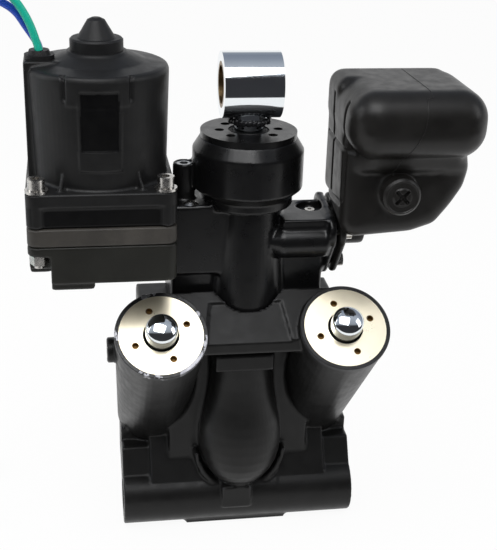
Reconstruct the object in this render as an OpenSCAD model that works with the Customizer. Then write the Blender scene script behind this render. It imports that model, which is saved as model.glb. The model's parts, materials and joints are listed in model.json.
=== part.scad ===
// Power trim and tilt unit: two trim rams, one tilt ram, electric pump and plastic oil reservoir.
// Origin at the middle of the lower pivot bore, +X to the starboard end of the pivot tube,
// +Z up the tilt ram, and the trim rams lean towards -Y. Millimetres.

/* [Lower casting] */
// Outer diameter of the pivot tube
pivot_tube_d = 40; // [36:1:44]
// Length of the pivot tube
pivot_tube_len = 160; // [150:1:180]
// Bore of the pivot tube, which holds the bushes
pivot_bore_d = 28; // [26:0.5:29]
// Pin that the pivot bushes fit
pivot_pin_d = 22; // [18:0.5:23]
// Length of one pivot bush
pivot_bush_len = 32; // [20:1:40]
// Width of the foot pad under the tube
pad_w = 71; // [60:1:90]

/* [Trim rams] */
// Distance of each trim ram from the middle plane
trim_spread = 57.5; // [56:0.5:60]
// Distance of the trim caps in front of the pivot
trim_ahead = 54; // [52:1:56]
// Height of the trim caps above the pivot
trim_rise = 151; // [149:1:153]
// Lean of the trim rams away from upright, in degrees
trim_lean = 40; // [38:1:42]
// Diameter of the trim cylinder at its rim
trim_rim_d = 56.5; // [55:0.5:58]
// Diameter of the trim cylinder at its closed end
trim_root_d = 48; // [47:0.5:50]
// Length of the trim cylinder
trim_len = 135; // [130:1:140]
// Bore of the trim cylinder
trim_bore_d = 40; // [38:0.5:41]
// Diameter of the trim end cap
trim_cap_d = 53; // [51:0.5:53.5]
// Diameter of the trim rod
trim_rod_d = 20; // [16:0.5:22]
// How far a trim rod stands out of its cap at rest
trim_tip = 14; // [10:1:18]

/* [Tilt ram] */
// How far the tilt ram stands in front of the pivot
tilt_ahead = 8; // [6:1:10]
// Height of the end cap's face above the pivot
tilt_face_z = 266; // [260:1:275]
// Diameter of the tilt end cap
tilt_cap_d = 59.6; // [56:0.2:62]
// Diameter of the collar that holds the cap
collar_d = 69; // [66:0.5:72]
// Bore of the tilt cylinder
tilt_bore_d = 27; // [25:0.5:28]
// Wall of the tilt liner
liner_wall = 3; // [2:0.25:3.5]
// Diameter of the tilt rod
tilt_rod_d = 18; // [14:0.5:20]
// Height of the eye's centre above the cap's face
eye_rise = 28; // [26:0.5:40]
// Outer diameter of the eye
eye_d = 40; // [36:0.5:42]
// Length of the eye
eye_len = 35.5; // [30:0.5:40]
// Pin that the eye's bushes fit
eye_pin_d = 23; // [18:0.5:24]

/* [Motor and pump] */
// How far the motor's axis stands in front of the pivot
motor_ahead = 20; // [18:1:24]
// Diameter of the motor's housing
motor_d = 82.6; // [78:0.2:84]
// Height of the motor's rim above the pivot
motor_rim_z = 311; // [300:1:320]
// How far the square motor flange stands out past the housing
flange_lip = 1.7; // [1:0.1:3]
// Height of the flange's top above the pivot
flange_z = 245.5; // [243:0.5:248]
// Thickness of the motor flange
flange_t = 21; // [18:0.5:24]
// Thickness of the grey adapter plate
plate_t = 11; // [9:0.5:13]
// Height of the pump housing
pump_h = 23; // [22:0.5:27]
// Diameter of a flange bolt
flange_bolt_d = 6; // [5:0.5:7]

/* [Reservoir] */
// Width of the tank along X
tank_w = 82.5; // [78:0.5:90]
// Depth of the tank along Y
tank_d = 78; // [72:1:84]
// Height of the tank
tank_h = 92; // [86:1:98]
// Wall of the tank
tank_wall = 3; // [2:0.25:4]
// Diameter of the fill plug's head
plug_d = 23; // [20:0.5:26]

/* [Leads] */
// Diameter of a motor lead
lead_d = 4.6; // [4:0.1:5]

/* [Hidden] */
$fn = 64;

// Clearances: a running fit, a seated fit, and one overrun for every cut
run = 0.05;
seat = 0.05;
gap = 0.3;
cut = 1;
hex_share = 0.9;

// Colours
satin_black = "#26272a";
gloss_black = "#17181b";
plastic_black = "#2c2a29";
grey_cast = "#6c6861";
olive_black = "#3b3b37";
champagne = "#d8cfae";
chrome = "#d4d8dc";
stainless = "#b9bbbd";
steel = "#8f9499";
rubber = "#141414";
bronze = "#a9834c";
copper = "#a5562b";
teal = "#18a890";
blue = "#2450c8";

// Places of the main axes
tube_r = pivot_tube_d / 2;
floor_z = -tube_r;
tilt_r = tilt_bore_d / 2;
liner_r = tilt_r + liner_wall;
block_left_x = -48.5;
flange_w = motor_d + 2 * flange_lip;
motor_side = flange_w / 2 - block_left_x;
module at_tilt(z = 0) translate([0, -tilt_ahead, z]) children();
module at_trim(side) translate([side * trim_spread, -trim_ahead, trim_rise]) rotate([trim_lean, 0, 0])
  children();
module at_motor(z = 0) translate([-motor_side, -motor_ahead, z]) children();

// Shapes that several pieces share
module along_x(len) translate([-len / 2, 0, 0]) rotate([0, 90, 0]) children();
module ring(outer_r, inner_r, h) difference() {
  cylinder(r = outer_r, h = h);
  translate([0, 0, -cut]) cylinder(r = inner_r, h = h + 2 * cut);
}
module block(low, high) translate(low) cube(high - low);
module slab(w, d, h, r) {
  translate([-w / 2, r - d / 2, 0]) cube([w, d - 2 * r, h]);
  translate([r - w / 2, -d / 2, 0]) cube([w - 2 * r, d, h]);
  for (x = [-1, 1]) for (y = [-1, 1]) translate([x * (w / 2 - r), y * (d / 2 - r), 0])
    cylinder(r = r, h = h);
}
module torus(mid_r, wire_r) rotate_extrude() translate([mid_r, 0]) circle(r = wire_r, $fn = 24);

// Lower casting: pivot tube, feet, two trim cylinders, sloped deck and the tilt ram's socket
socket_floor_z = 24;
joint_z = 138;
deck_top_z = 150;
bottle_r = 27.3;
bottle_low_z = 12.5;
bottle_wide_z = 48;
bottle_neck_r = 20.8;
bottle_neck_z = 100;
bottle_shares = [for (i = [0:8]) sin(90 * i / 8)];
notch_r = 27;
deck_front_y = -52;
deck_front_z = 141.5;
deck_back_y = -24;
deck_half_w = 27.5;
deck_back_half_w = 21.5;
deck_off_x = -2.5;
deck_lip = 7;
wing_up = 1.4;
deck_slope = tan(trim_lean);
deck_left_x = -68;
deck_right_x = 62;
tab_half_w = 18.8;
tab_front_y = -37;
tab_low_z = 113.5;
tab_top_z = 125;
pad_front_y = -11.7;
pad_back_y = 22;
pad_h = 14;
pad_off_x = -1.5;
nub_half_w = 10;
nub_low_z = -2;
nub_top_z = 15;
nub_out = 1.4;
foot_half_w = pivot_tube_len / 2;
foot_back_y = 46;
foot_front_y = -13;
foot_front_z = 15;
foot_top_y = 5;
foot_top_z = 45;
step_x = 61;
step_back_y = 14;
step_z = 36;
foot_rise_share = (step_z - foot_front_z) / (foot_top_z - foot_front_z);
step_front_y = foot_front_y + (foot_top_y - foot_front_y) * foot_rise_share;
foot_step_in = 4;
valley_r = 28.4;
valley_z = 39;
lip_t = 3;
lip_out = 1.6;
web_front_y = -4;
web_back_y = 28;
web_half_w = 48;
bolt_x = 34;
bolt_rear_y = 18;
cap_flange = 5;
cap_thread_wall = 2.5;
cap_thread_r = trim_bore_d / 2 + cap_thread_wall;
cap_len = 24;
trim_end_wall = 8;
trim_bore_end = trim_len - trim_end_wall;
boss_r = 8;
boss_side_x = 90;
boss_z = 132;
boss_y = -34;
plug_screw_r = 5;
plug_screw_len = 9;

bottle_outline = concat(
  [[0, bottle_low_z]],
  [for (i = [1:8]) [bottle_r * bottle_shares[i],
    bottle_wide_z - (bottle_wide_z - bottle_low_z) * bottle_shares[8 - i]]],
  [for (i = [1:8]) let (s = i / 8) [
    bottle_neck_r + (bottle_r - bottle_neck_r) * (1 + cos(180 * s)) / 2,
    bottle_wide_z + (bottle_neck_z - bottle_wide_z) * s
  ]],
  [[bottle_neck_r, joint_z], [0, joint_z]]
);

module foot(side) {
  // Inner block, whose sloped front meets the trim cylinder
  translate([side < 0 ? -step_x : 0, 0, 0]) rotate([90, 0, 90]) linear_extrude(step_x) polygon([
    [foot_front_y, 0], [foot_front_y, foot_front_z], [foot_top_y, foot_top_z],
    [foot_back_y, foot_top_z], [foot_back_y, foot_front_z], [tube_r * sin(trim_lean), 0]
  ]);
  // Outer block with its step
  translate([side < 0 ? -foot_half_w : 0, 0, 0]) rotate([90, 0, 90]) linear_extrude(foot_half_w) polygon([
    [foot_front_y + foot_step_in, 0], [foot_front_y + foot_step_in, foot_front_z],
    [step_front_y + foot_step_in, step_z],
    [step_back_y, step_z], [step_back_y, foot_top_z], [foot_back_y - lip_t, foot_top_z],
    [foot_back_y - lip_t, foot_front_z], [tube_r * sin(trim_lean), 0]
  ]);
}

module deck_profile(up) translate([-trim_spread, 0, 0]) rotate([90, 0, 90])
  linear_extrude(2 * trim_spread) polygon([
  [deck_front_y, deck_front_z - deck_lip], [deck_front_y, deck_front_z + up],
  [deck_back_y, deck_front_z + (deck_back_y - deck_front_y) * deck_slope + up],
  [deck_back_y, joint_z - deck_lip], [-tilt_ahead, joint_z - 2 * deck_lip],
  [deck_front_y + 2 * deck_lip, deck_front_z - 2 * deck_lip]
]);
module saddle_plan() translate([deck_off_x, 0, 0]) linear_extrude(2 * joint_z) polygon([
  [-deck_half_w, deck_front_y - cut], [deck_half_w, deck_front_y - cut],
  [deck_back_half_w, deck_back_y + cut], [-deck_back_half_w, deck_back_y + cut]
]);
module deck() {
  // Sloped saddle between the caps, cut square to the trim rams and narrower at the back
  intersection() {
    deck_profile(0);
    saddle_plan();
  }
  // Wings that run to the trim cylinders, a little higher
  difference() {
    deck_profile(wing_up);
    saddle_plan();
  }
  translate([deck_left_x, 0, 0]) rotate([90, 0, 90]) linear_extrude(deck_right_x - deck_left_x) polygon([
    [deck_back_y - deck_lip, deck_front_z + (deck_back_y - deck_lip - deck_front_y) * deck_slope + wing_up],
    [deck_back_y, deck_front_z + (deck_back_y - deck_front_y) * deck_slope + wing_up],
    [deck_back_y, joint_z - deck_lip], [deck_back_y - deck_lip, joint_z - 2 * deck_lip]
  ]);
}

module valley() {
  // U-shaped hollow around the bottle, open upward
  rotate([90, 0, 0]) cylinder(r = valley_r, h = trim_ahead);
  translate([-valley_r, -trim_ahead, 0]) cube([2 * valley_r, trim_ahead, joint_z]);
}

module trim_manifold() color(satin_black) difference() {
  union() {
    along_x(pivot_tube_len) cylinder(r = tube_r, h = pivot_tube_len);
    // Foot pad under the tube and the square nub in front
    block([pad_off_x - pad_w / 2, pad_front_y, floor_z],
      [pad_off_x + pad_w / 2, pad_back_y, floor_z + pad_h]);
    block([deck_off_x - nub_half_w, -tube_r - nub_out, nub_low_z], [deck_off_x + nub_half_w, 0, nub_top_z]);
    difference() {
      union() {
        foot(-1);
        foot(1);
      }
      translate([0, web_front_y, valley_z]) valley();
    }
    // Raised lip around the hollow
    difference() {
      translate([0, web_front_y, valley_z]) rotate([90, 0, 0])
        cylinder(r = valley_r + lip_t, h = -foot_front_y + web_front_y + lip_out);
      translate([0, web_front_y + cut, valley_z]) rotate([90, 0, 0]) cylinder(r = valley_r, h = trim_ahead);
      block([-pivot_tube_len, -trim_ahead, valley_z], [pivot_tube_len, trim_ahead, joint_z]);
    }
    // Web behind the bottle
    block([-web_half_w, web_front_y, 0], [web_half_w, web_back_y, deck_top_z]);
    block([deck_left_x, deck_back_y, joint_z - deck_lip], [deck_right_x, web_back_y, deck_top_z]);
    deck();
    block([deck_off_x - tab_half_w, tab_front_y, tab_low_z],
      [deck_off_x + tab_half_w, -tilt_ahead, tab_top_z]);
    at_tilt() rotate_extrude() polygon(bottle_outline);
    for (side = [-1, 1]) {
      at_trim(side) translate([0, 0, -trim_len])
        cylinder(r1 = trim_root_d / 2, r2 = trim_rim_d / 2, h = trim_len);
      // Side boss with its plug
      translate([side * trim_spread, boss_y, boss_z]) rotate([0, side * 90, 0])
        cylinder(r = boss_r, h = boss_side_x - trim_spread);
    }
  }
  along_x(pivot_tube_len + 2 * cut) cylinder(r = pivot_bore_d / 2, h = pivot_tube_len + 2 * cut);
  // Socket of the tilt ram
  at_tilt(socket_floor_z) cylinder(r = liner_r + seat, h = joint_z);
  at_tilt(joint_z) cylinder(r = notch_r, h = joint_z);
  for (side = [-1, 1]) {
    at_trim(side) {
      translate([0, 0, -cap_flange]) cylinder(r = trim_cap_d / 2 + seat, h = joint_z);
      translate([0, 0, -cap_len - seat]) cylinder(r = cap_thread_r + seat, h = cap_len);
      translate([0, 0, -trim_bore_end]) cylinder(r = trim_bore_d / 2, h = trim_bore_end);
    }
    translate([side * (boss_side_x + cut), boss_y, boss_z]) rotate([0, -side * 90, 0])
      cylinder(r = plug_screw_r + seat, h = plug_screw_len + cut);
    translate([side * bolt_x, bolt_rear_y, deck_top_z - housing_bolt_grip])
      cylinder(r = housing_bolt_r + seat, h = joint_z);
  }
}

module pivot_bushes() color(plastic_black) for (side = [-1, 1])
  translate([side * (pivot_tube_len - pivot_bush_len) / 2, 0, 0])
    along_x(pivot_bush_len) ring(pivot_bore_d / 2 - seat, pivot_pin_d / 2 + run, pivot_bush_len);

module gallery_plugs() color(stainless) for (side = [-1, 1])
  translate([side * (boss_side_x - plug_screw_len), boss_y, boss_z]) rotate([0, side * 90, 0])
    difference() {
    cylinder(r = plug_screw_r, h = plug_screw_len);
    translate([0, 0, plug_screw_len / 2]) cylinder(r = plug_screw_r / 2, h = plug_screw_len, $fn = 6);
  }

// Trim rams, drawn along their own axis with the cap's face at zero
wiper_wall = 3;
wiper_r = trim_rod_d / 2 + wiper_wall;
wiper_h = 6;
wiper_down = 2;
cap_mouth_gap = 1.2;
cap_mouth_r = trim_rod_d / 2 + cap_mouth_gap;
spanner_r = 2.2;
spanner_pcr = 17.3;
spanner_depth = 4;
spanner_turns = [22, 18];
trim_piston_h = 16;
piston_rest_gap = 1.5;
trim_piston_low = trim_bore_end - piston_rest_gap;
trim_piston_z = trim_piston_h - trim_piston_low;
piston_side = 0.05;
trim_ring_h = 4;
trim_ring_t = 2.5;
tip_round = 4;
tip_crown = 1;
oring_r = 1.6;
cap_oring_share = 0.6;
cap_oring_z = -cap_len * cap_oring_share;

module trim_cap(turn) color(champagne) difference() {
  union() {
    translate([0, 0, -cap_flange]) cylinder(r = trim_cap_d / 2, h = cap_flange);
    translate([0, 0, -cap_len]) cylinder(r = cap_thread_r, h = cap_len);
  }
  translate([0, 0, -cap_len - cut]) cylinder(r = trim_rod_d / 2 + run, h = cap_len + 2 * cut);
  translate([0, 0, -wiper_down - wiper_h]) cylinder(r = wiper_r + seat, h = wiper_h);
  translate([0, 0, -wiper_down - cut]) cylinder(r = cap_mouth_r, h = wiper_down + 2 * cut);
  for (i = [0:3]) rotate([0, 0, turn + 90 * i]) translate([spanner_pcr, 0, -spanner_depth])
    cylinder(r = spanner_r, h = spanner_depth + cut);
  translate([0, 0, cap_oring_z]) rotate_extrude() translate([cap_thread_r, 0])
    circle(r = oring_r + seat, $fn = 24);
}
module trim_wiper() color(rubber) translate([0, 0, -wiper_down - wiper_h])
  ring(wiper_r, trim_rod_d / 2 + run, wiper_h);
tip_outline = concat(
  [[0, trim_piston_z - trim_piston_h], [trim_rod_d / 4, trim_piston_z - trim_piston_h],
    [trim_rod_d / 4, trim_piston_z], [trim_rod_d / 2, trim_piston_z]],
  [for (i = [0:6]) [trim_rod_d / 2 - tip_round * (1 - cos(15 * i)),
    trim_tip - tip_round - tip_crown + tip_round * sin(15 * i)]],
  [[0, trim_tip]]
);
module trim_rod() color(chrome) rotate_extrude() polygon(tip_outline);
module trim_piston() color(steel) translate([0, 0, -trim_piston_low]) difference() {
  cylinder(r = trim_bore_d / 2 - piston_side, h = trim_piston_h);
  translate([0, 0, -cut]) cylinder(r = trim_rod_d / 4 + seat, h = trim_piston_h + 2 * cut);
  translate([0, 0, (trim_piston_h - trim_ring_h) / 2])
    ring(trim_bore_d / 2 + cut, trim_bore_d / 2 - trim_ring_t, trim_ring_h);
}
module trim_ring() color(rubber)
  translate([0, 0, (trim_piston_h - trim_ring_h) / 2 - trim_piston_low + seat])
  ring(trim_bore_d / 2 - piston_side, trim_bore_d / 2 - trim_ring_t + seat, trim_ring_h - 2 * seat);
module trim_cap_orings() color(rubber) for (side = [-1, 1]) at_trim(side) translate([0, 0, cap_oring_z])
  intersection() {
  torus(cap_thread_r - seat, oring_r - seat);
  translate([0, 0, -cap_len]) cylinder(r = cap_thread_r, h = 2 * cap_len);
}

// Upper casting: barrel, collar, port block and starboard arm
cap_top_t = 3.8;
collar_top_z = tilt_face_z - cap_top_t;
collar_chamfer = 7.5;
collar_chamfer_z = collar_top_z - collar_chamfer;
collar_low_z = 226;
collar_under = 5.4;
band_r = 28.5;
band_low_z = 220;
barrel_top_r = 21.6;
barrel_low_r = 26.6;
thread_r = 24;
tilt_thread_len = 24;
liner_top_z = collar_top_z - tilt_thread_len;
block_front_y = -25;
block_back_y = 24;
block_top_z = 223;
block_step_z = 177;
block_step_in = 6;
arm_end_x = 54;
arm_r = 10.5;
arm_y = -22;
arm_z = 197;
arm_top_z = 212.5;
arm_front_y = -27;
arm_tip_x = 6;
arm_cone_x = 20;
arm_back_y = 12;
arm_plate_t = 5;
arm_plate_y = -9;
arm_plate_z = 201;
lug_big_r = 11;
lug_r = 8;
lug_front_y = -22;
lug_front_z = 203;
lug_back_y = 12;
lug_back_z = 209;
lug_low_y = -6;
lug_low_z = 177;
lug_bolt_out = 2;
arm_lugs =
  [[lug_front_y, lug_front_z, lug_big_r], [lug_back_y, lug_back_z, lug_r], [lug_low_y, lug_low_z, lug_r]];
arm_bolts = [[lug_front_y - lug_bolt_out, lug_front_z], [lug_back_y, lug_back_z], [lug_low_y, lug_low_z]];
arm_recess_x = 42.5;
arm_recess_y = 0;
arm_recess_r = 8.6;
arm_recess_depth = 5;
arm_block_half_d = 9;
valve_x = -39.7;
valve_boss_r = 6.9;
valve_top_z = 246.5;
valve_r = 4.6;
valve_len = 46;
ledge_screw_x = -36.5;
ledge_screw_y = -19.5;
ledge_screw_r = 2.6;
ledge_screw_len = 9;
housing_bolt_r = 3;
housing_bolt_grip = 14;
housing_bolt_head_r = 5;
housing_bolt_head_h = 6;
base_half_w = 48.5;
base_h = 12;
base_front_y = -17.5;
pump_ledge_in = 7.5;
pump_ledge_x = pump_ledge_in - motor_side;
pump_ledge_y = -6;
pump_ledge_h = 12;
pump_bolt_r = 3;
pump_bolt_in = 17.5;
pump_bolt_x = pump_bolt_in - motor_side;
pump_bolt_front_y = 1;
pump_bolt_back_y = 17;
pump_bolt_y = [pump_bolt_front_y, pump_bolt_back_y];
pump_bolt_bite = 12;
pump_bolt_head_r = 5;
pump_bolt_head_h = 6;

barrel_outline = [
  [0, joint_z], [barrel_low_r, joint_z], [barrel_top_r, band_low_z], [band_r, band_low_z + 2 * run],
  [band_r, collar_low_z], [collar_d / 2, collar_low_z + collar_under], [collar_d / 2, collar_chamfer_z],
  [tilt_cap_d / 2 + run, collar_top_z], [0, collar_top_z]
];

module arm_flange(x, t) translate([x, 0, 0]) rotate([90, 0, 90]) hull()
  for (lug = arm_lugs) translate([lug[0], lug[1], 0]) cylinder(r = lug[2], h = t, $fn = 32);
module at_arm_bolts(x) for (p = arm_bolts) translate([x, p[0], p[1]]) rotate([0, 90, 0]) children();

module tilt_housing() color(gloss_black) difference() {
  union() {
    at_tilt() rotate_extrude() polygon(barrel_outline);
    // Port block that carries the pump
    block([block_left_x, block_front_y, block_step_z], [0, block_back_y, block_top_z]);
    block([block_left_x, block_front_y + block_step_in, deck_top_z], [0, block_back_y, block_step_z]);
    // Ledge under the pump
    block([pump_ledge_x, pump_ledge_y, pump_low_z - pump_ledge_h],
      [block_left_x + cut, block_back_y, pump_low_z]);
    translate([valve_x, -tilt_ahead, block_step_z])
      cylinder(r = valve_boss_r, h = valve_top_z - block_step_z);
    // Base that stands on the lower casting's deck
    block([-base_half_w, base_front_y, deck_top_z], [base_half_w, web_back_y - cut, deck_top_z + base_h]);
    // Starboard arm: ledge, round rib with its pointed end, and the web below
    block([0, -tilt_ahead - arm_r, arm_z], [arm_end_x - arm_plate_t, arm_back_y, arm_top_z]);
    block([arm_cone_x, arm_front_y, arm_z], [arm_end_x - arm_plate_t, arm_back_y, arm_top_z]);
    translate([arm_cone_x, arm_y, arm_z]) rotate([0, 90, 0])
      cylinder(r = arm_r, h = arm_end_x - arm_plate_t - arm_cone_x);
    translate([arm_tip_x, arm_y, arm_z]) rotate([0, 90, 0])
      cylinder(r1 = arm_r / 4, r2 = arm_r, h = arm_cone_x - arm_tip_x);
    block([0, -arm_block_half_d - tilt_ahead, deck_top_z], [arm_end_x - arm_plate_t, arm_back_y, arm_z]);
    arm_flange(arm_end_x - arm_plate_t, arm_plate_t);
  }
  at_tilt(joint_z - cut) cylinder(r = liner_r + seat, h = liner_top_z - joint_z + cut);
  at_tilt(liner_top_z - seat) cylinder(r = thread_r + seat, h = tilt_thread_len + cut);
  // Release valve's hole, the ledge screw's and the arm plug's
  translate([valve_x, -tilt_ahead, valve_top_z - valve_len])
    cylinder(r = valve_r + run, h = valve_len + cut);
  translate([ledge_screw_x, ledge_screw_y, block_top_z - ledge_screw_len])
    cylinder(r = ledge_screw_r + seat, h = ledge_screw_len + cut);
  translate([arm_recess_x, arm_recess_y, arm_top_z - arm_recess_depth])
    cylinder(r = arm_recess_r, h = arm_recess_depth + cut);
  translate([arm_recess_x, arm_recess_y, arm_top_z - 2 * arm_recess_r])
    cylinder(r = arm_plug_r + seat, h = 2 * arm_recess_r);
  // Oil way from the reservoir
  translate([arm_end_x + cut, arm_plate_y, arm_plate_z]) rotate([0, -90, 0])
    cylinder(r = oil_way_r, h = arm_end_x - arm_cone_x);
  at_arm_bolts(arm_end_x - arm_plate_t - cut) cylinder(r = tank_bolt_r + seat, h = arm_plate_t + 2 * cut);
  for (side = [-1, 1]) translate([side * bolt_x, bolt_rear_y, 0]) {
    translate([0, 0, deck_top_z - cut]) cylinder(r = housing_bolt_r + seat, h = base_h + 2 * cut);
    translate([0, 0, deck_top_z + base_h]) cylinder(r = housing_bolt_head_r + 2 * gap, h = block_top_z);
  }
  for (y = pump_bolt_y) translate([pump_bolt_x, y, pump_low_z - pump_ledge_h - cut])
    cylinder(r = pump_bolt_r + seat, h = pump_ledge_h + 2 * cut);
}

module tilt_liner() color(steel) at_tilt(socket_floor_z)
  ring(liner_r, tilt_r, liner_top_z - socket_floor_z - run);

tilt_wiper_r = 12.6;
tilt_wiper_h = 5;
tilt_hole_r = 2.9;
tilt_hole_pcr = 18.2;
tilt_hole_depth = 3;
tilt_hole_turns = [0, 45, 135, 180, 225, 315];
tilt_oring_share = 0.4;
tilt_oring_z = collar_top_z - tilt_thread_len * tilt_oring_share;

module tilt_end_cap() color(gloss_black) at_tilt() difference() {
  union() {
    translate([0, 0, collar_top_z]) cylinder(r = tilt_cap_d / 2, h = cap_top_t);
    translate([0, 0, liner_top_z]) cylinder(r = thread_r, h = tilt_thread_len);
  }
  translate([0, 0, liner_top_z - cut])
    cylinder(r = tilt_rod_d / 2 + run, h = tilt_thread_len + cap_top_t + 2 * cut);
  translate([0, 0, tilt_face_z - tilt_wiper_h]) cylinder(r = tilt_wiper_r + seat, h = tilt_wiper_h + cut);
  for (a = tilt_hole_turns) rotate([0, 0, a])
    translate([tilt_hole_pcr, 0, tilt_face_z - tilt_hole_depth])
    cylinder(r = tilt_hole_r, h = tilt_hole_depth + cut);
  translate([0, 0, tilt_oring_z]) rotate_extrude() translate([thread_r, 0])
    circle(r = oring_r + seat, $fn = 24);
}
module tilt_wiper() color(rubber) at_tilt(tilt_face_z - tilt_wiper_h)
  ring(tilt_wiper_r, tilt_rod_d / 2 + run, tilt_wiper_h);
module tilt_cap_oring() color(rubber) at_tilt(tilt_oring_z) intersection() {
  torus(thread_r - seat, oring_r - seat);
  translate([0, 0, -tilt_thread_len]) cylinder(r = thread_r, h = 2 * tilt_thread_len);
}

// Tilt ram: rod, eye, piston and its valves, and the loose memory piston under it
eye_z = tilt_face_z + eye_rise;
eye_bush_wall = 2.5;
eye_bore_r = eye_pin_d / 2 + eye_bush_wall;
eye_bush_share = 0.4;
eye_bush_len = eye_len * eye_bush_share;
weld_r = 11.6;
weld_low_r = 10;
weld_h = 2.5;
weld_drop = 3;
free_h = 12;
free_gap = 1;
free_low_z = socket_floor_z + free_gap;
nut_h = 6.5;
nut_r = 8;
nut_low_z = free_low_z + free_h + free_gap;
tilt_piston_low_z = nut_low_z + nut_h;
tilt_piston_h = 18;
tilt_spigot_r = 5.5;
tilt_ring_h = 3.5;
tilt_ring_t = 2.2;
tilt_ring_up = 11;
shock_r = 1.6;
shock_pcr = 8.2;
shock_count = 4;
shock_hole_share = 0.6;

module tilt_rod() color(chrome) at_tilt() difference() {
  union() {
    translate([0, 0, nut_low_z]) cylinder(r = tilt_spigot_r, h = nut_h + tilt_piston_h);
    translate([0, 0, tilt_piston_low_z + tilt_piston_h])
      cylinder(r = tilt_rod_d / 2, h = eye_z - tilt_piston_low_z - tilt_piston_h);
  }
  translate([0, 0, eye_z]) along_x(eye_len) cylinder(r = eye_d / 2, h = eye_len);
}
module rod_eye() color(chrome) at_tilt() difference() {
  union() {
    translate([0, 0, eye_z]) along_x(eye_len) cylinder(r = eye_d / 2, h = eye_len);
    // Weld bead around the rod's top
    translate([0, 0, eye_z - eye_d / 2 - weld_drop]) cylinder(r1 = weld_low_r, r2 = weld_r, h = weld_h);
    translate([0, 0, eye_z - eye_d / 2 - weld_drop + weld_h]) cylinder(r = weld_r, h = eye_d / 4);
  }
  translate([0, 0, eye_z]) along_x(eye_len + 2 * cut) cylinder(r = eye_bore_r, h = eye_len + 2 * cut);
  difference() {
    translate([0, 0, tilt_face_z]) cylinder(r = tilt_rod_d / 2, h = eye_rise);
    translate([0, 0, eye_z]) along_x(eye_len) cylinder(r = eye_d / 2, h = eye_len);
  }
}
module eye_bushes() color(bronze) for (side = [-1, 1])
  at_tilt(eye_z) translate([side * (eye_len - eye_bush_len) / 2, 0, 0])
    along_x(eye_bush_len) ring(eye_bore_r - seat, eye_pin_d / 2 + run, eye_bush_len);
module shock_places() for (i = [0:shock_count - 1]) rotate([0, 0, 45 + 360 * i / shock_count])
  translate([shock_pcr, 0, 0]) children();
module tilt_piston() color(steel) at_tilt(tilt_piston_low_z) difference() {
  cylinder(r = tilt_r - piston_side, h = tilt_piston_h);
  translate([0, 0, -cut]) cylinder(r = tilt_spigot_r + seat, h = tilt_piston_h + 2 * cut);
  translate([0, 0, tilt_ring_up]) ring(tilt_r + cut, tilt_r - tilt_ring_t, tilt_ring_h);
  shock_places() {
    translate([0, 0, -cut]) cylinder(r = shock_r * shock_hole_share, h = tilt_piston_h + 2 * cut);
    translate([0, 0, tilt_piston_h / 2 - 2 * shock_r]) cylinder(r = shock_r + seat, h = tilt_piston_h);
  }
}
module tilt_piston_ring() color(rubber) at_tilt(tilt_piston_low_z + tilt_ring_up + seat)
  ring(tilt_r - piston_side, tilt_r - tilt_ring_t + seat, tilt_ring_h - 2 * seat);
module piston_nut() color(steel) at_tilt(nut_low_z) difference() {
  cylinder(r = nut_r, h = nut_h, $fn = 6);
  translate([0, 0, -cut]) cylinder(r = tilt_spigot_r + seat, h = nut_h + 2 * cut);
}
shock_ball_z = tilt_piston_low_z + tilt_piston_h / 2 - shock_r + seat;
module shock_balls() color(chrome) at_tilt(shock_ball_z) shock_places() sphere(r = shock_r, $fn = 24);
module shock_springs() color(steel) at_tilt(shock_ball_z + shock_r + seat) shock_places()
  ring(shock_r, shock_r * shock_hole_share, tilt_piston_h / 2 - 2 * seat);
module free_piston() color(steel) at_tilt(free_low_z) difference() {
  cylinder(r = tilt_r - piston_side, h = free_h);
  translate([0, 0, free_h / 2]) rotate_extrude() translate([tilt_r - piston_side, 0])
    circle(r = oring_r + seat, $fn = 24);
}
module free_piston_oring() color(rubber) at_tilt(free_low_z + free_h / 2) intersection() {
  torus(tilt_r - piston_side - seat, oring_r - seat);
  translate([0, 0, -free_h]) cylinder(r = tilt_r - piston_side, h = 2 * free_h);
}

// Release valve, screws and plugs of the upper casting
valve_socket_r = 2.9;
valve_down = 1.2;
arm_plug_r = 3;
arm_plug_head_r = 4.6;
arm_plug_head_h = 2.6;
arm_plug_len = 6;
arm_plug_top_share = 0.7;
module release_valve() color(steel) translate([valve_x, -tilt_ahead, valve_top_z - valve_len + seat])
  difference() {
  union() {
    cylinder(r1 = valve_r / 3, r2 = valve_r, h = valve_r);
    translate([0, 0, valve_r]) cylinder(r = valve_r, h = valve_len - valve_r - valve_down);
  }
  translate([0, 0, valve_len - valve_down - 2 * valve_socket_r])
    cylinder(r = valve_socket_r, h = valve_len, $fn = 6);
}
module housing_bolts() color(stainless) for (side = [-1, 1]) translate([side * bolt_x, bolt_rear_y, 0]) {
  translate([0, 0, deck_top_z - housing_bolt_grip + seat])
    cylinder(r = housing_bolt_r, h = housing_bolt_grip + base_h);
  translate([0, 0, deck_top_z + base_h]) difference() {
    cylinder(r = housing_bolt_head_r, h = housing_bolt_head_h);
    translate([0, 0, housing_bolt_head_h / 2])
      cylinder(r = housing_bolt_r * hex_share, h = housing_bolt_head_h, $fn = 6);
  }
}
module ledge_screw() color(stainless) translate([ledge_screw_x, ledge_screw_y, block_top_z]) difference() {
  union() {
    translate([0, 0, -ledge_screw_len + seat]) cylinder(r = ledge_screw_r, h = ledge_screw_len);
    cylinder(r1 = 2 * ledge_screw_r, r2 = ledge_screw_r, h = ledge_screw_r / 2);
  }
  translate([0, 0, -ledge_screw_r / 2]) cylinder(r = ledge_screw_r / 2, h = ledge_screw_r * 2, $fn = 6);
}
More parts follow.
